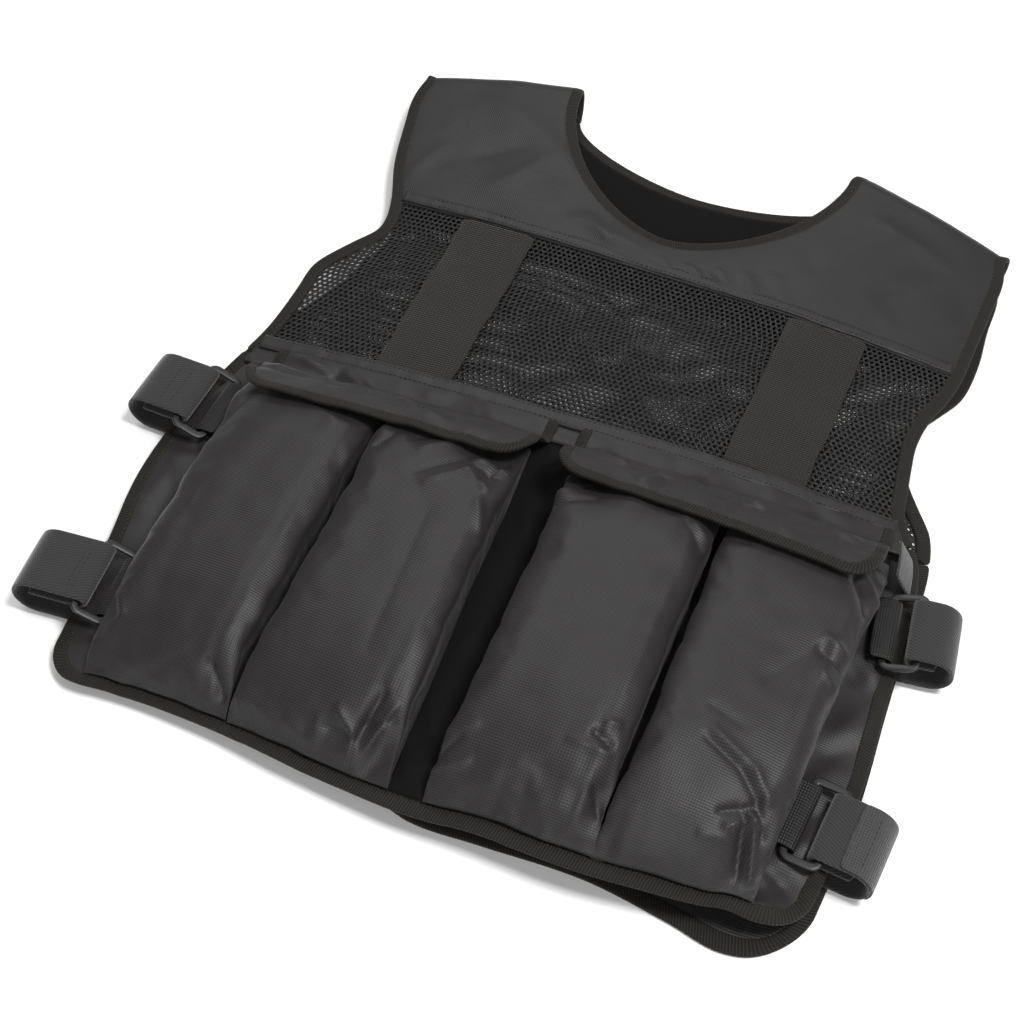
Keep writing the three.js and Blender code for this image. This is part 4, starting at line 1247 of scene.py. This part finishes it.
@dataclass
class WeightPockets:
    """The four filled pockets."""

    shop: Workshop
    height: float = 36
    head_clearance: float = 13
    foot_lift: float = 7
    squareness: float = 11
    ridge: float = 0.64
    ridge_drop: float = 0.1
    around_steps: int = 56
    along_steps: int = 84
    foot: float = 7
    undercut: float = 0.1
    puff: float = 0.3
    wrinkle: float = 0.38
    cap: float = 3.0
    frames: int = 20
    pressure: float = 2.5
    calm_from: float = 192
    calm_over: float = 30

    def oval(self, turn: Array) -> tuple[Array, Array]:
        """Places across and up on the squared oval of a section, at angles seen from its middle."""
        c, s = np.cos(turn), np.sin(turn)
        far = (np.abs(c) ** self.squareness + np.abs(s) ** self.squareness) ** (1 / self.squareness)
        return c / far, s / far

    def place(self, pocket: Pocket, at: Array, turn: Array, high: Array, wide: Array) -> Array:
        """Points of the pocket's skin in mm.

        Args:
            pocket: which pocket.
            at: share of the length.
            turn: angle over the section, pi at the left foot, 0 at the right one.
            high: share of the height.
            wide: share of the width.

        Returns:
            The points.
        """
        p = self.shop.pattern
        head = p.waist - p.band / 2 - self.head_clearance
        y = self.foot + (head - self.foot) * at
        left = p.half * (pocket.foot[0] + (pocket.head[0] - pocket.foot[0]) * at)
        right = p.half * (pocket.foot[1] + (pocket.head[1] - pocket.foot[1]) * at)
        across, rise = self.oval(turn)
        # the full pocket bulges over its base on the right
        bulge = 1 + self.undercut * (rise**2 - 0.6) * (across > 0) * np.minimum(1, high)
        x = (left + right) / 2 + wide * bulge * (right - left) / 2 * across
        dent = sum((d.depth(at, across) for d in pocket.dents), np.zeros_like(at))
        lift = self.foot_lift * across**6 * np.minimum(1, high * 2.5)
        # the filling falls away from a soft ridge towards the right edge
        away = np.clip((across - self.ridge) / (1 - self.ridge), 0, 1)
        groove = 0.025 * np.exp(-((across - self.ridge + 0.03) / 0.06) ** 2)
        top = self.height * pocket.high * high * (1 - dent - self.ridge_drop * away - groove)
        z = p.cloth / 2 + p.gap + lift + rise * (top - lift)
        return p.front(x, y, z)

    def skin(self, pocket: Pocket) -> bpy.types.Object:
        """The pocket's closed skin on an even grid."""
        at_rows, wide_rows, high_rows = (column(POCKET_SECTIONS, k) for k in range(3))
        fine = np.linspace(0, 1, 300)
        highs = np.concatenate([[0.03], smooth(at_rows, high_rows, fine), [0.03]])
        ats = np.concatenate([[0], fine, [1]])
        ends = evened(np.stack([ats * 205, highs * self.height], axis=1), self.along_steps + 1)
        at, high = np.clip(ends[:, 0] / 205, 0, 1), ends[:, 1] / self.height
        wide = smooth(at_rows, wide_rows, at)
        turn = np.linspace(math.pi, 0, 800)
        across, rise = self.oval(turn)
        along = lengths(np.stack([43 * across, self.height * rise], axis=1))
        turns = np.interp(np.linspace(0, along[-1], self.around_steps + 1), along, turn)
        turns[0], turns[-1] = math.pi, 0
        grid = [np.repeat(v[:, None], len(turns), 1).ravel() for v in (at, high, wide)]
        points = self.place(pocket, grid[0], np.tile(turns, len(at)), grid[1], grid[2])
        points = points.reshape(len(at), len(turns), 3)
        girth = np.linspace(0, along[-1], len(turns))
        weave = np.stack(np.broadcast_arrays(girth[None, :], lengths(ends)[:, None]), axis=2)
        mesh = surface(points, weave)
        body = bmesh.new()
        body.from_mesh(mesh)
        sewn = [v.index for v in body.verts if v.is_boundary]
        base = bmesh.ops.holes_fill(body, edges=[e for e in body.edges if e.is_boundary], sides=0)["faces"]
        bmesh.ops.triangulate(body, faces=base)
        bmesh.ops.recalc_face_normals(body, faces=body.faces)
        body.to_mesh(mesh)
        body.free()
        piece = link(f"Weight_{pocket.name}", mesh)
        piece.vertex_groups.new(name="Sewn").add(sewn, 1.0, "REPLACE")
        return piece

    def fill(self, pieces: Sequence[bpy.types.Object]) -> None:
        """Lets the filling push the cloth out, with the seams at the base held.

        Args:
            pieces: the skins, which keep the result in their meshes.
        """
        starts = {}
        for piece in pieces:
            start = np.empty(len(piece.data.vertices) * 3)
            piece.data.vertices.foreach_get("co", start)
            starts[piece.name] = start.reshape(-1, 3)
            cloth = piece.modifiers.new("Cloth", "CLOTH")
            settings = cloth.settings
            settings.quality = 6
            settings.mass = 0.25
            settings.tension_stiffness = settings.compression_stiffness = 12
            settings.shear_stiffness = 4
            settings.bending_stiffness = 0.3
            settings.use_pressure = True
            settings.uniform_pressure_force = self.pressure
            settings.shrink_min = -0.05
            settings.vertex_group_mass = "Sewn"
            settings.effector_weights.gravity = 0
            cloth.collision_settings.use_collision = False
            cloth.point_cache.frame_end = self.frames
        for number in range(1, self.frames + 1):
            bpy.context.scene.frame_set(number)
        graph = bpy.context.evaluated_depsgraph_get()
        for piece in pieces:
            done = piece.evaluated_get(graph).data
            moved = np.empty(len(done.vertices) * 3)
            done.vertices.foreach_get("co", moved)
            start = starts[piece.name]
            shift = moved.reshape(-1, 3) - start
            swell = self.softened(piece.data, shift)
            shift = self.wrinkle * (shift - swell) + self.puff * swell
            y = start[:, 1] / MM - self.shop.pattern.origin_y
            shift *= np.clip(1 - (y - self.calm_from) / self.calm_over, 0.1, 1)[:, None]
            size = np.linalg.norm(shift, axis=1)[:, None]
            shift *= np.minimum(1, self.cap * MM / np.maximum(size, 1e-9))
            piece.modifiers.clear()
            piece.data.vertices.foreach_set("co", (start + shift).ravel())
            piece.data.update()
        bpy.context.scene.frame_set(1)

    @staticmethod
    def softened(mesh: bpy.types.Mesh, shift: Array, rounds: int = 16) -> Array:
        """The broad part of a movement, without its wrinkles.

        Args:
            mesh: the mesh that moved.
            shift: how far each vertex moved.
            rounds: how often each vertex takes the mean of its neighbours.

        Returns:
            The broad movement of each vertex.
        """
        edges = np.empty(len(mesh.edges) * 2, dtype=np.int32)
        mesh.edges.foreach_get("vertices", edges)
        a, b = edges.reshape(-1, 2).T
        count = np.bincount(edges, minlength=len(shift))[:, None]
        for _ in range(rounds):
            total = np.zeros_like(shift)
            np.add.at(total, a, shift[b])
            np.add.at(total, b, shift[a])
            shift = (shift + total / count) / 2
        return shift

    def crease(self, piece: bpy.types.Object, pocket: Pocket) -> None:
        """Adds a subdivision and the creases that a coarse skin can't hold."""
        p = self.shop.pattern
        refine = piece.modifiers.new("Refine", "SUBSURF")
        refine.levels = refine.render_levels = 1
        mesh = bpy.data.meshes.new_from_object(piece.evaluated_get(bpy.context.evaluated_depsgraph_get()))
        piece.modifiers.clear()
        piece.data = mesh
        place = np.empty(len(mesh.vertices) * 3)
        normal = np.empty(len(mesh.vertices) * 3)
        mesh.vertices.foreach_get("co", place)
        mesh.vertex_normals.foreach_get("vector", normal)
        place, normal = place.reshape(-1, 3), normal.reshape(-1, 3)
        x = place[:, 0] / MM - p.origin_x
        y = place[:, 1] / MM - p.origin_y
        # the cloth is gathered where it is sewn to the hem and below the flap
        gather = np.exp(-np.abs(y - self.foot) / 16) + np.exp(-np.abs(y - 216) / 14)
        relief = folded(pocket.folds, x, y) + 0.5 * lumps(x, y, 17, 7 + pocket.foot[0]) \
            + 0.9 * gather * lumps(x, y * 0.35, 8, 3 + pocket.foot[0])
        above = np.clip((normal[:, 2] + 0.3) / 1.0, 0, 1)
        place += normal * (relief * above * MM)[:, None]
        mesh.vertices.foreach_set("co", place.ravel())
        mesh.update()

    def build(self) -> None:
        """Builds the four pockets."""
        pieces = [self.skin(pocket) for pocket in POCKETS]
        self.fill(pieces)
        for piece, pocket in zip(pieces, POCKETS):
            self.crease(piece, pocket)
            self.shop.join(piece, self.shop.finishes.oxford, Slot.OXFORD, pocket.name)


FLAP_FOLDS = (
    Fold(-142, 252, -122, 241, 4, 1.8),
    Fold(-150, 246, -130, 232, 5, -1.4),
    Fold(-94, 226, -64, 217, 4, 2.2),
    Fold(-100, 236, -70, 228, 4, -1.4),
    Fold(-178, 257, -150, 248, 5, 1.8),
    Fold(-176, 228, -140, 222, 5, 1.4),
    Fold(-60, 250, -30, 230, 6, 1.6),
    Fold(-40, 222, -20, 236, 4, -1.4),
    Fold(13, 240, 48, 222, 4, 2.2),
    Fold(22, 246, 60, 231, 4, 1.6),
    Fold(26, 234, 57, 226, 3, -1.6),
    Fold(56, 214, 82, 246, 5, 2.2),
    Fold(66, 212, 92, 240, 4, -1.4),
    Fold(82, 232, 112, 217, 5, -1.6),
    Fold(117, 226, 146, 244, 5, 2.4),
    Fold(122, 220, 150, 236, 4, -1.6),
    Fold(150, 240, 176, 224, 5, 1.8),
    Fold(162, 226, 188, 218, 4, -1.4),
)


@dataclass
class Flaps:
    """The two pocket flaps with their bound edges."""

    shop: Bindings
    depth: float = 43
    corner: float = 20
    clearance: float = 1.2
    over_band: float = 2.2
    cloth: float = 1.6
    sewn_at: float = 259.5
    tape_width: float = 6.9
    pocket_height: float = 36
    pocket_foot: float = 12.6
    head_clearance: float = 13
    seam_row: float = 13
    sides: tuple[tuple[str, float, float, float], ...] = (
        ("left", -0.852, -0.036, 0.0),
        ("right", 0.027, 0.874, 0.2),
    )

    def lift(self, y: Array) -> Array:
        """Height over the front cloth: from the band up over the heads of the pockets."""
        p = self.shop.pattern
        band = (p.tape + p.cloth) / 2 + p.gap + self.over_band
        over = p.cloth / 2 + p.gap + self.clearance + p.tape / 2
        low = p.waist - p.band / 2
        head = low - self.head_clearance
        at = (y - self.pocket_foot) / (head - self.pocket_foot)
        rows = [column(FLAP_REST, k) for k in (0, 1)]
        resting = over + self.pocket_height * smooth(rows[0], rows[1], np.clip(at, 0.8, 1))
        edge = over + self.pocket_height * FLAP_REST[-1][1]
        fall = np.clip((y - head) / (low - head), 0, 1)
        hanging = edge + (band - edge) * (1 - (1 - fall) ** 1.5)
        return np.where(at < 1, resting, hanging)

    def build(self) -> None:
        """Builds both flaps."""
        p = self.shop.pattern
        top = p.waist - p.band / 2 - p.gap
        low = top - self.depth
        for word, left_share, right_share, droop in self.sides:

            def place(x: Array, y: Array, lift: Array, left_share: float = left_share,
                      right_share: float = right_share, droop: float = droop) -> Array:
                """Points of the flap, drooping towards its right end."""
                flat_x, flat_y = x.ravel(), y.ravel()
                across = (flat_x / p.half - left_share) / (right_share - left_share)
                free = np.clip((top - flat_y) / self.depth, 0, 1)
                hung = flat_y - self.depth * droop * across * free
                calm = np.clip((self.sewn_at - flat_y) / 6, 0, 1)
                wave = 2.0 * lumps(flat_x, flat_y, 23, 2.0 + droop)
                wave += 0.8 * lumps(flat_x, flat_y, 10, 5.0 + droop)
                sewn_line = 2.0 * np.exp(-((flat_y - low - self.tape_width - self.seam_row) / 2.2) ** 2)
                crease = 1.6 * folded(FLAP_FOLDS, flat_x, flat_y) - sewn_line
                heights = self.lift(hung) + lift.ravel() + np.maximum(wave + crease + 0.9, -1.2) * calm
                return p.front(flat_x, hung, heights).reshape(*x.shape, 3)

            lines = []
            for side, share in ((-1, left_share), (1, right_share)):
                x = p.half * share
                turn = np.linspace(0, math.pi / 2, 9)
                arc = np.stack([x - side * self.corner * (1 - np.sin(turn)),
                                low + self.corner * (1 - np.cos(turn))], axis=1)
                up = np.linspace(low + self.corner, self.sewn_at, 15)[1:]
                lines.append(np.concatenate([arc, np.stack([np.full(14, x), up], axis=1)]))
            left, right = lines
            cloth = [inset(left, p.under, 1), inset(right, p.under, -1)]
            t = np.linspace(0, 1, 91)
            grid = cloth[0][:, None] * (1 - t)[None, :, None] + cloth[1][:, None] * t[None, :, None]
            x, y = grid[..., 0], grid[..., 1]
            points = place(x, y, np.zeros_like(x))
            mesh = surface(points, np.stack([x, y], axis=2))
            piece = link(f"Pocket_flap_{word}", mesh, subdivided(1), thickened(self.cloth))
            self.shop.join(piece, self.shop.finishes.oxford, Slot.OXFORD, f"flap_{word}")
            tape = [inset(left, self.tape_width, 1), inset(right, self.tape_width, -1)]
            rows = []
            for a, b in ((left, right), tape):
                rows.append(np.concatenate([a[::-1], np.linspace(a[0], b[0], 60)[1:-1], b]))
            binding = self.shop.strip(f"Flap_binding_tape_{word}", rows[0], rows[1], place)
            self.shop.join(binding, self.shop.finishes.tape, Slot.TAPE, f"flap_binding_{word}")
            # the cut lies flat, so its length is the way over the heads of the pockets
            for distance, above in ((self.tape_width - SEWN_IN, p.tape / 2 - 0.3),
                                    (self.tape_width + self.seam_row, self.cloth / 2)):
                a, b = inset(left, distance, 1), inset(right, distance, -1)
                sewn = np.concatenate([a[::-1], np.linspace(a[0], b[0], 60)[1:-1], b]) if distance < 12 \
                    else np.linspace(a[0] + (6, 0), b[0] - (6, 0), 80)
                row = place(sewn[:, :1], sewn[:, 1:], np.full((len(sewn), 1), above + 0.1))
                self.shop.seams.append(row[:, 0])


@dataclass(frozen=True)
class StrapPlace:
    """Where a side strap sits: up of the waist height, seat and reach as shares of the reach, turn in radians.

    Its rows of stitches lie that many mm out from the ring.
    """

    name: str
    side: int
    up: float
    seat: float
    reach: float
    turn: float
    rows: tuple[float, ...]
    hooked: bool = False


STRAPS = (
    StrapPlace("top_left", -1, 0.796, -0.53, 0.93, -0.05, (7, 14)),
    StrapPlace("bottom_left", -1, 0.254, -0.52, 1.1, 0.07, (4, 7)),
    StrapPlace("top_right", 1, 0.748, -0.08, 0.93, 0.1, ()),
    StrapPlace("bottom_right", 1, 0.24, -0.5, 0.76, -0.1, (10, 15, 20), True),
)


def arc(x: float, z: float, radius: float, start: float, end: float, steps: int = 12) -> Array:
    """Points on an arc."""
    turn = np.linspace(start, end, steps + 1)
    return np.stack([x + radius * np.cos(turn), z + radius * np.sin(turn)], axis=1)


@dataclass
class SideStraps:
    """The four side straps with their rings and the tabs that hold them."""

    shop: Workshop
    width: float = 40
    thickness: float = 2
    loop_height: float = 24
    reach: float = 30
    tuck: float = 24
    ring_length: float = 50
    ring_width: float = 22
    bar: float = 3.4
    corner: float = 4
    tab: float = 1.4
    tab_reach: float = 9

    def ribbon(self, name: str, path: Array, width: float, thickness: float, place: Matrix,
               side: int) -> bpy.types.Object:
        """A flat webbing along a path drawn outwards and up.

        Args:
            name: name of the piece.
            path: points outwards and up in mm.
            width: its width.
            thickness: its thickness.
            place: where the strap stands.
            side: -1 for the left of the vest, 1 for the right.

        Returns:
            The object.
        """
        path = evened(path, max(12, int(lengths(path)[-1] / 2.5)))
        along = np.gradient(path, axis=0)
        along /= np.linalg.norm(along, axis=1)[:, None]
        section = rim(18, 0.3)
        out = path[:, 0][:, None] - along[:, 1][:, None] * thickness * section[:, 1][None]
        up = path[:, 1][:, None] + along[:, 0][:, None] * thickness * section[:, 1][None]
        y = width * section[:, 0][None] + 0 * out
        points = np.stack([side * out, y, up], axis=2)
        turned = points @ np.array(place.to_3x3()).T + np.array(place.translation)
        weave = np.stack(np.broadcast_arrays(y, lengths(path)[:, None]), axis=2)
        return link(name, surface(turned, weave, closed=True), subdivided(1))

    def ring(self, name: str, place: Matrix) -> bpy.types.Object:
        """A rectangular ring with flat bars."""
        x, y = (self.ring_width - self.bar) / 2, (self.ring_length - self.bar) / 2
        r = self.corner
        quarter = math.pi / 2
        path = np.concatenate([
            arc(x - r, -y + r, r, -quarter, 0, 5),
            arc(x - r, y - r, r, 0, quarter, 5),
            arc(-x + r, y - r, r, quarter, 2 * quarter, 5),
            arc(-x + r, -y + r, r, 2 * quarter, 3 * quarter, 5),
        ])
        path = np.concatenate([path, path[:1]])
        along = np.roll(path[:-1], -1, axis=0) - np.roll(path[:-1], 1, axis=0)
        along = np.concatenate([along, along[:1]])
        along /= np.linalg.norm(along, axis=1)[:, None]
        section = rim(14, 0.6) * [self.bar * 1.35, self.bar * 0.7]
        px = path[:, 0][:, None] + along[:, 1][:, None] * section[:, 0][None]
        py = path[:, 1][:, None] - along[:, 0][:, None] * section[:, 0][None]
        pz = section[:, 1][None] + 0 * px
        points = np.stack([px, py, pz], axis=2) @ np.array(place.to_3x3()).T + np.array(place.translation)
        weave = np.stack([px, py], axis=2)
        return link(name, surface(points, weave, closed=True, ring=True), subdivided(1))

    def build(self) -> None:
        """Builds the four straps, rings and tabs."""
        p = self.shop.pattern
        finishes = self.shop.finishes
        for strap in STRAPS:
            y = p.waist * strap.up
            edge = p.half_width(strap.side, y)[0]
            seat, reach = self.reach * strap.seat, self.reach * strap.reach
            spread = self.ring_width - self.bar
            bar_reach = self.bar * math.sqrt(0.5) + p.gap
            tab_turn, bar_turn = bar_reach + self.tab / 2, bar_reach + self.thickness / 2
            low = p.tape + p.gap + self.thickness / 2
            high = low + self.loop_height
            outer_z = high - bar_turn
            near = edge + seat - spread / 2
            under = [p.height(np.array([strap.side * x]), np.array([y + share * self.width]))[0]
                     for x in (near - self.tab_reach, near) for share in (-0.5, 0, 0.5)]
            inner_z = max(under) + p.tape / 2 + p.gap + self.tab / 2 + tab_turn
            tilt = math.asin((outer_z - inner_z) / spread)
            bar_inner, bar_outer = (seat + s * spread / 2 * math.cos(tilt) for s in (-1, 1))
            radius = self.loop_height / 2
            centre = reach - radius - self.thickness / 2
            edge_x = np.array([strap.side * edge])
            here = Vector((strap.side * edge + p.origin_x,
                           p.laid(edge_x, np.array([y]), Layer.FRONT)[0] + p.origin_y, 0))
            place = Matrix.Translation(here) @ Matrix.Rotation(strap.turn, 4, "Z")
            half = math.pi / 2
            wrap = 1.7
            loop = np.concatenate([
                [[-self.tuck, low], [centre - 0.1, low]],
                arc(centre, low + radius, radius, -half, half, 16),
                [[centre - 0.1, high], [bar_outer + 0.1, high]],
                arc(bar_outer, outer_z, bar_turn, half, 3 * half, 12) * [wrap, 1] + [bar_outer * (1 - wrap), 0],
                [[centre + radius / 4, outer_z - bar_turn]],
            ])
            piece = self.ribbon(f"Side_strap_{strap.name}", loop, self.width, self.thickness, place, strap.side)
            self.shop.join(piece, finishes.loop, Slot.LOOP, f"strap_{strap.name}")
            for step in strap.rows:
                top = high + self.thickness / 2 + 0.1
                ends = np.array([[strap.side * (bar_outer + step), across, top] for across in (-17, 17)])
                self.shop.seams.append(ends @ np.array(place.to_3x3()).T + np.array(place.translation))
            if strap.hooked:
                over = self.thickness / 2 + 0.4
                patch = np.concatenate([arc(centre, low + radius, radius + over, -0.5 * half, half, 12),
                                        [[bar_outer + 9, high + over]]])
                piece = self.ribbon(f"Hook_patch_{strap.name}", patch, self.width - 1, 1.0, place, strap.side)
                self.shop.join(piece, finishes.hook, Slot.LOOP)
            hold = np.concatenate([
                [[bar_inner - self.tab_reach, inner_z - tab_turn]],
                [[bar_inner - self.tab_reach + 1, inner_z + tab_turn]],
            ])
            piece = self.ribbon(f"Ring_tab_{strap.name}", self.around_bar(hold, bar_inner, inner_z, tab_turn),
                                self.width - p.gap, self.tab, place, strap.side)
            self.shop.join(piece, finishes.tab, Slot.WEBBING, f"anchor_{strap.name}")
            seated = place @ Matrix.Translation((strap.side * seat, 0, (inner_z + outer_z) / 2)) \
                @ Matrix.Rotation(-strap.side * tilt, 4, "Y")
            piece = self.ring(f"Strap_ring_{strap.name}", seated)
            self.shop.join(piece, finishes.plastic, Slot.PLASTIC, f"ring_{strap.name}")

    @staticmethod
    def around_bar(path: Array, x: float, z: float, radius: float) -> Array:
        """The path of a tab, which turns round the inner side of its bar."""
        half = math.pi / 2
        turn = arc(x, z, radius, -half, half, 12) * [1.8, 1] - [0.8 * x, 0]
        return np.concatenate([path[:1], turn, path[-1:]])


@dataclass
class FastenerPatch:
    """The strip of hook-and-loop tape beside the right flap."""

    shop: Workshop
    clearance: float = 2.5
    height: float = 16
    thickness: float = 1.6
    lean: float = 0.6

    def build(self) -> None:
        """Builds the strip."""
        p = self.shop.pattern
        low = p.waist * STRAPS[2].up + 25 + self.clearance
        high = p.waist - p.band / 2
        section = rim(14, 0.3)
        y = np.linspace(low, high, 13)[:, None] + 0 * section[:, 0][None]
        up = self.height * (0.5 + section[:, 0])[None] + 0 * y
        way = np.array([1, 0, self.lean]) / math.hypot(1, self.lean)
        x = p.half_width(1, y[:, 0])[:, None] - p.tape_width / 2 + 0 * y
        base = p.front(x.ravel(), y.ravel(), (p.tape / 2 + p.gap + self.lean * self.thickness + up).ravel())
        points = base.reshape(*x.shape, 3)
        points[..., 0] -= self.lean * up
        points = points + way * (self.thickness * section[:, 1])[None, :, None]
        piece = link("Hook_strip", surface(points, np.stack([up, y], axis=2), closed=True), subdivided(1))
        self.shop.join(piece, self.shop.finishes.loop, Slot.LOOP, "fastener_strip_right")


@dataclass
class Stitching:
    """Rows of stitches along the seams: short rounded stitches with gaps between them."""

    shop: Workshop
    stitch: float = 2.3
    gap: float = 0.9
    thread: float = 0.32

    def build(self) -> None:
        """Builds every stitch as one piece."""
        rows = bmesh.new()
        rows.loops.layers.uv.new("Weave")
        total = 0
        for line in self.shop.seams:
            along = lengths(line)
            step = self.stitch + self.gap
            for at in np.arange(step, along[-1] - step, step):
                here, there = (np.array([np.interp(a, along, line[:, k]) for k in range(3)])
                               for a in (at, at + self.stitch))
                way = Vector(there - here)
                turn = way.to_track_quat("X", "Z").to_matrix().to_4x4()
                size = Matrix.Diagonal((way.length / 2 * MM, self.thread * MM, self.thread * 0.8 * MM, 1))
                middle = Matrix.Translation(Vector((here + there) / 2) * MM)
                bmesh.ops.create_icosphere(rows, subdivisions=1, radius=1.0, matrix=middle @ turn @ size)
                total += 1
        mesh = bpy.data.meshes.new("stitches")
        rows.to_mesh(mesh)
        rows.free()
        piece = link("Seam_stitches", mesh)
        self.shop.join(piece, self.shop.finishes.thread, Slot.OXFORD)
        LOG.info("%d stitches", total)


@dataclass
class Studio:
    """A plain pale floor, soft light and the camera."""

    target: tuple[float, float, float] = (-0.01055, -0.06577, 0.0)
    distance: float = 1.043
    azimuth: float = 21.4
    elevation: float = 53.0
    lens: float = 62.79
    floor: str = "#f8f8f8"
    room: float = 0.25
    # name, place, side in metres, power in watts
    lamps: tuple[tuple[str, tuple[float, float, float], float, float], ...] = (
        ("Key", (1.0, -0.2, 2.4), 0.6, 60),
        ("Side", (-0.6, 1.4, 1.9), 0.9, 18),
        ("Fill", (0.4, -1.8, 1.4), 1.4, 18),
    )

    def stage(self) -> None:
        """The floor and its finish."""
        ground = bmesh.new()
        bmesh.ops.create_grid(ground, x_segments=1, y_segments=1, size=6.0)
        mesh = bpy.data.meshes.new("floor")
        ground.to_mesh(mesh)
        ground.free()
        floor = bpy.data.objects.new("floor", mesh)
        bpy.context.scene.collection.objects.link(floor)
        material = bpy.data.materials.new("Matt_white_paper")
        material.use_nodes = True
        shader = material.node_tree.nodes["Principled BSDF"]
        shader.inputs["Base Color"].default_value = linear(self.floor)
        shader.inputs["Roughness"].default_value = 0.9
        mesh.materials.append(material)

    def light(self, name: str, place: Sequence[float], size: float, power: float) -> None:
        """A soft square light that faces the vest."""
        data = bpy.data.lights.new(name, "AREA")
        data.shape, data.size, data.energy = "SQUARE", size, power
        lamp = bpy.data.objects.new(name, data)
        lamp.location = place
        lamp.rotation_euler = (Vector(self.target) - Vector(place)).to_track_quat("-Z", "Y").to_euler()
        bpy.context.scene.collection.objects.link(lamp)

    def camera(self) -> None:
        """The camera at the photograph's angle."""
        a, e = math.radians(self.azimuth), math.radians(self.elevation)
        back = Vector((math.sin(a) * math.cos(e), -math.cos(a) * math.cos(e), math.sin(e)))
        data = bpy.data.cameras.new("Camera")
        data.lens, data.sensor_width = self.lens, 36.0
        camera = bpy.data.objects.new("Camera", data)
        camera.location = Vector(self.target) + back * self.distance
        camera.rotation_euler = (-back).to_track_quat("-Z", "Y").to_euler()
        bpy.context.scene.collection.objects.link(camera)
        bpy.context.scene.camera = camera

    def build(self) -> None:
        """Builds the studio."""
        self.stage()
        for lamp in self.lamps:
            self.light(*lamp)
        world = bpy.data.worlds.new("Room")
        world.use_nodes = True
        world.node_tree.nodes["Background"].inputs["Color"].default_value = (1, 1, 1, 1)
        world.node_tree.nodes["Background"].inputs["Strength"].default_value = self.room
        bpy.context.scene.world = world
        bpy.context.scene.view_settings.view_transform = "Standard"
        self.camera()


def main() -> None:
    """Builds the vest and its studio."""
    logging.basicConfig(level=logging.INFO, format="%(name)s: %(message)s")
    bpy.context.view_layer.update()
    Studio().build()
    shop = Bindings(Pattern(), Finishes())
    Panels.build(shop)
    shop.build()
    Webbing(shop).build()
    WeightPockets(shop).build()
    Flaps(shop).build()
    SideStraps(shop).build()
    FastenerPatch(shop).build()
    Stitching(shop).build()


if __name__ == "__main__":
    main()
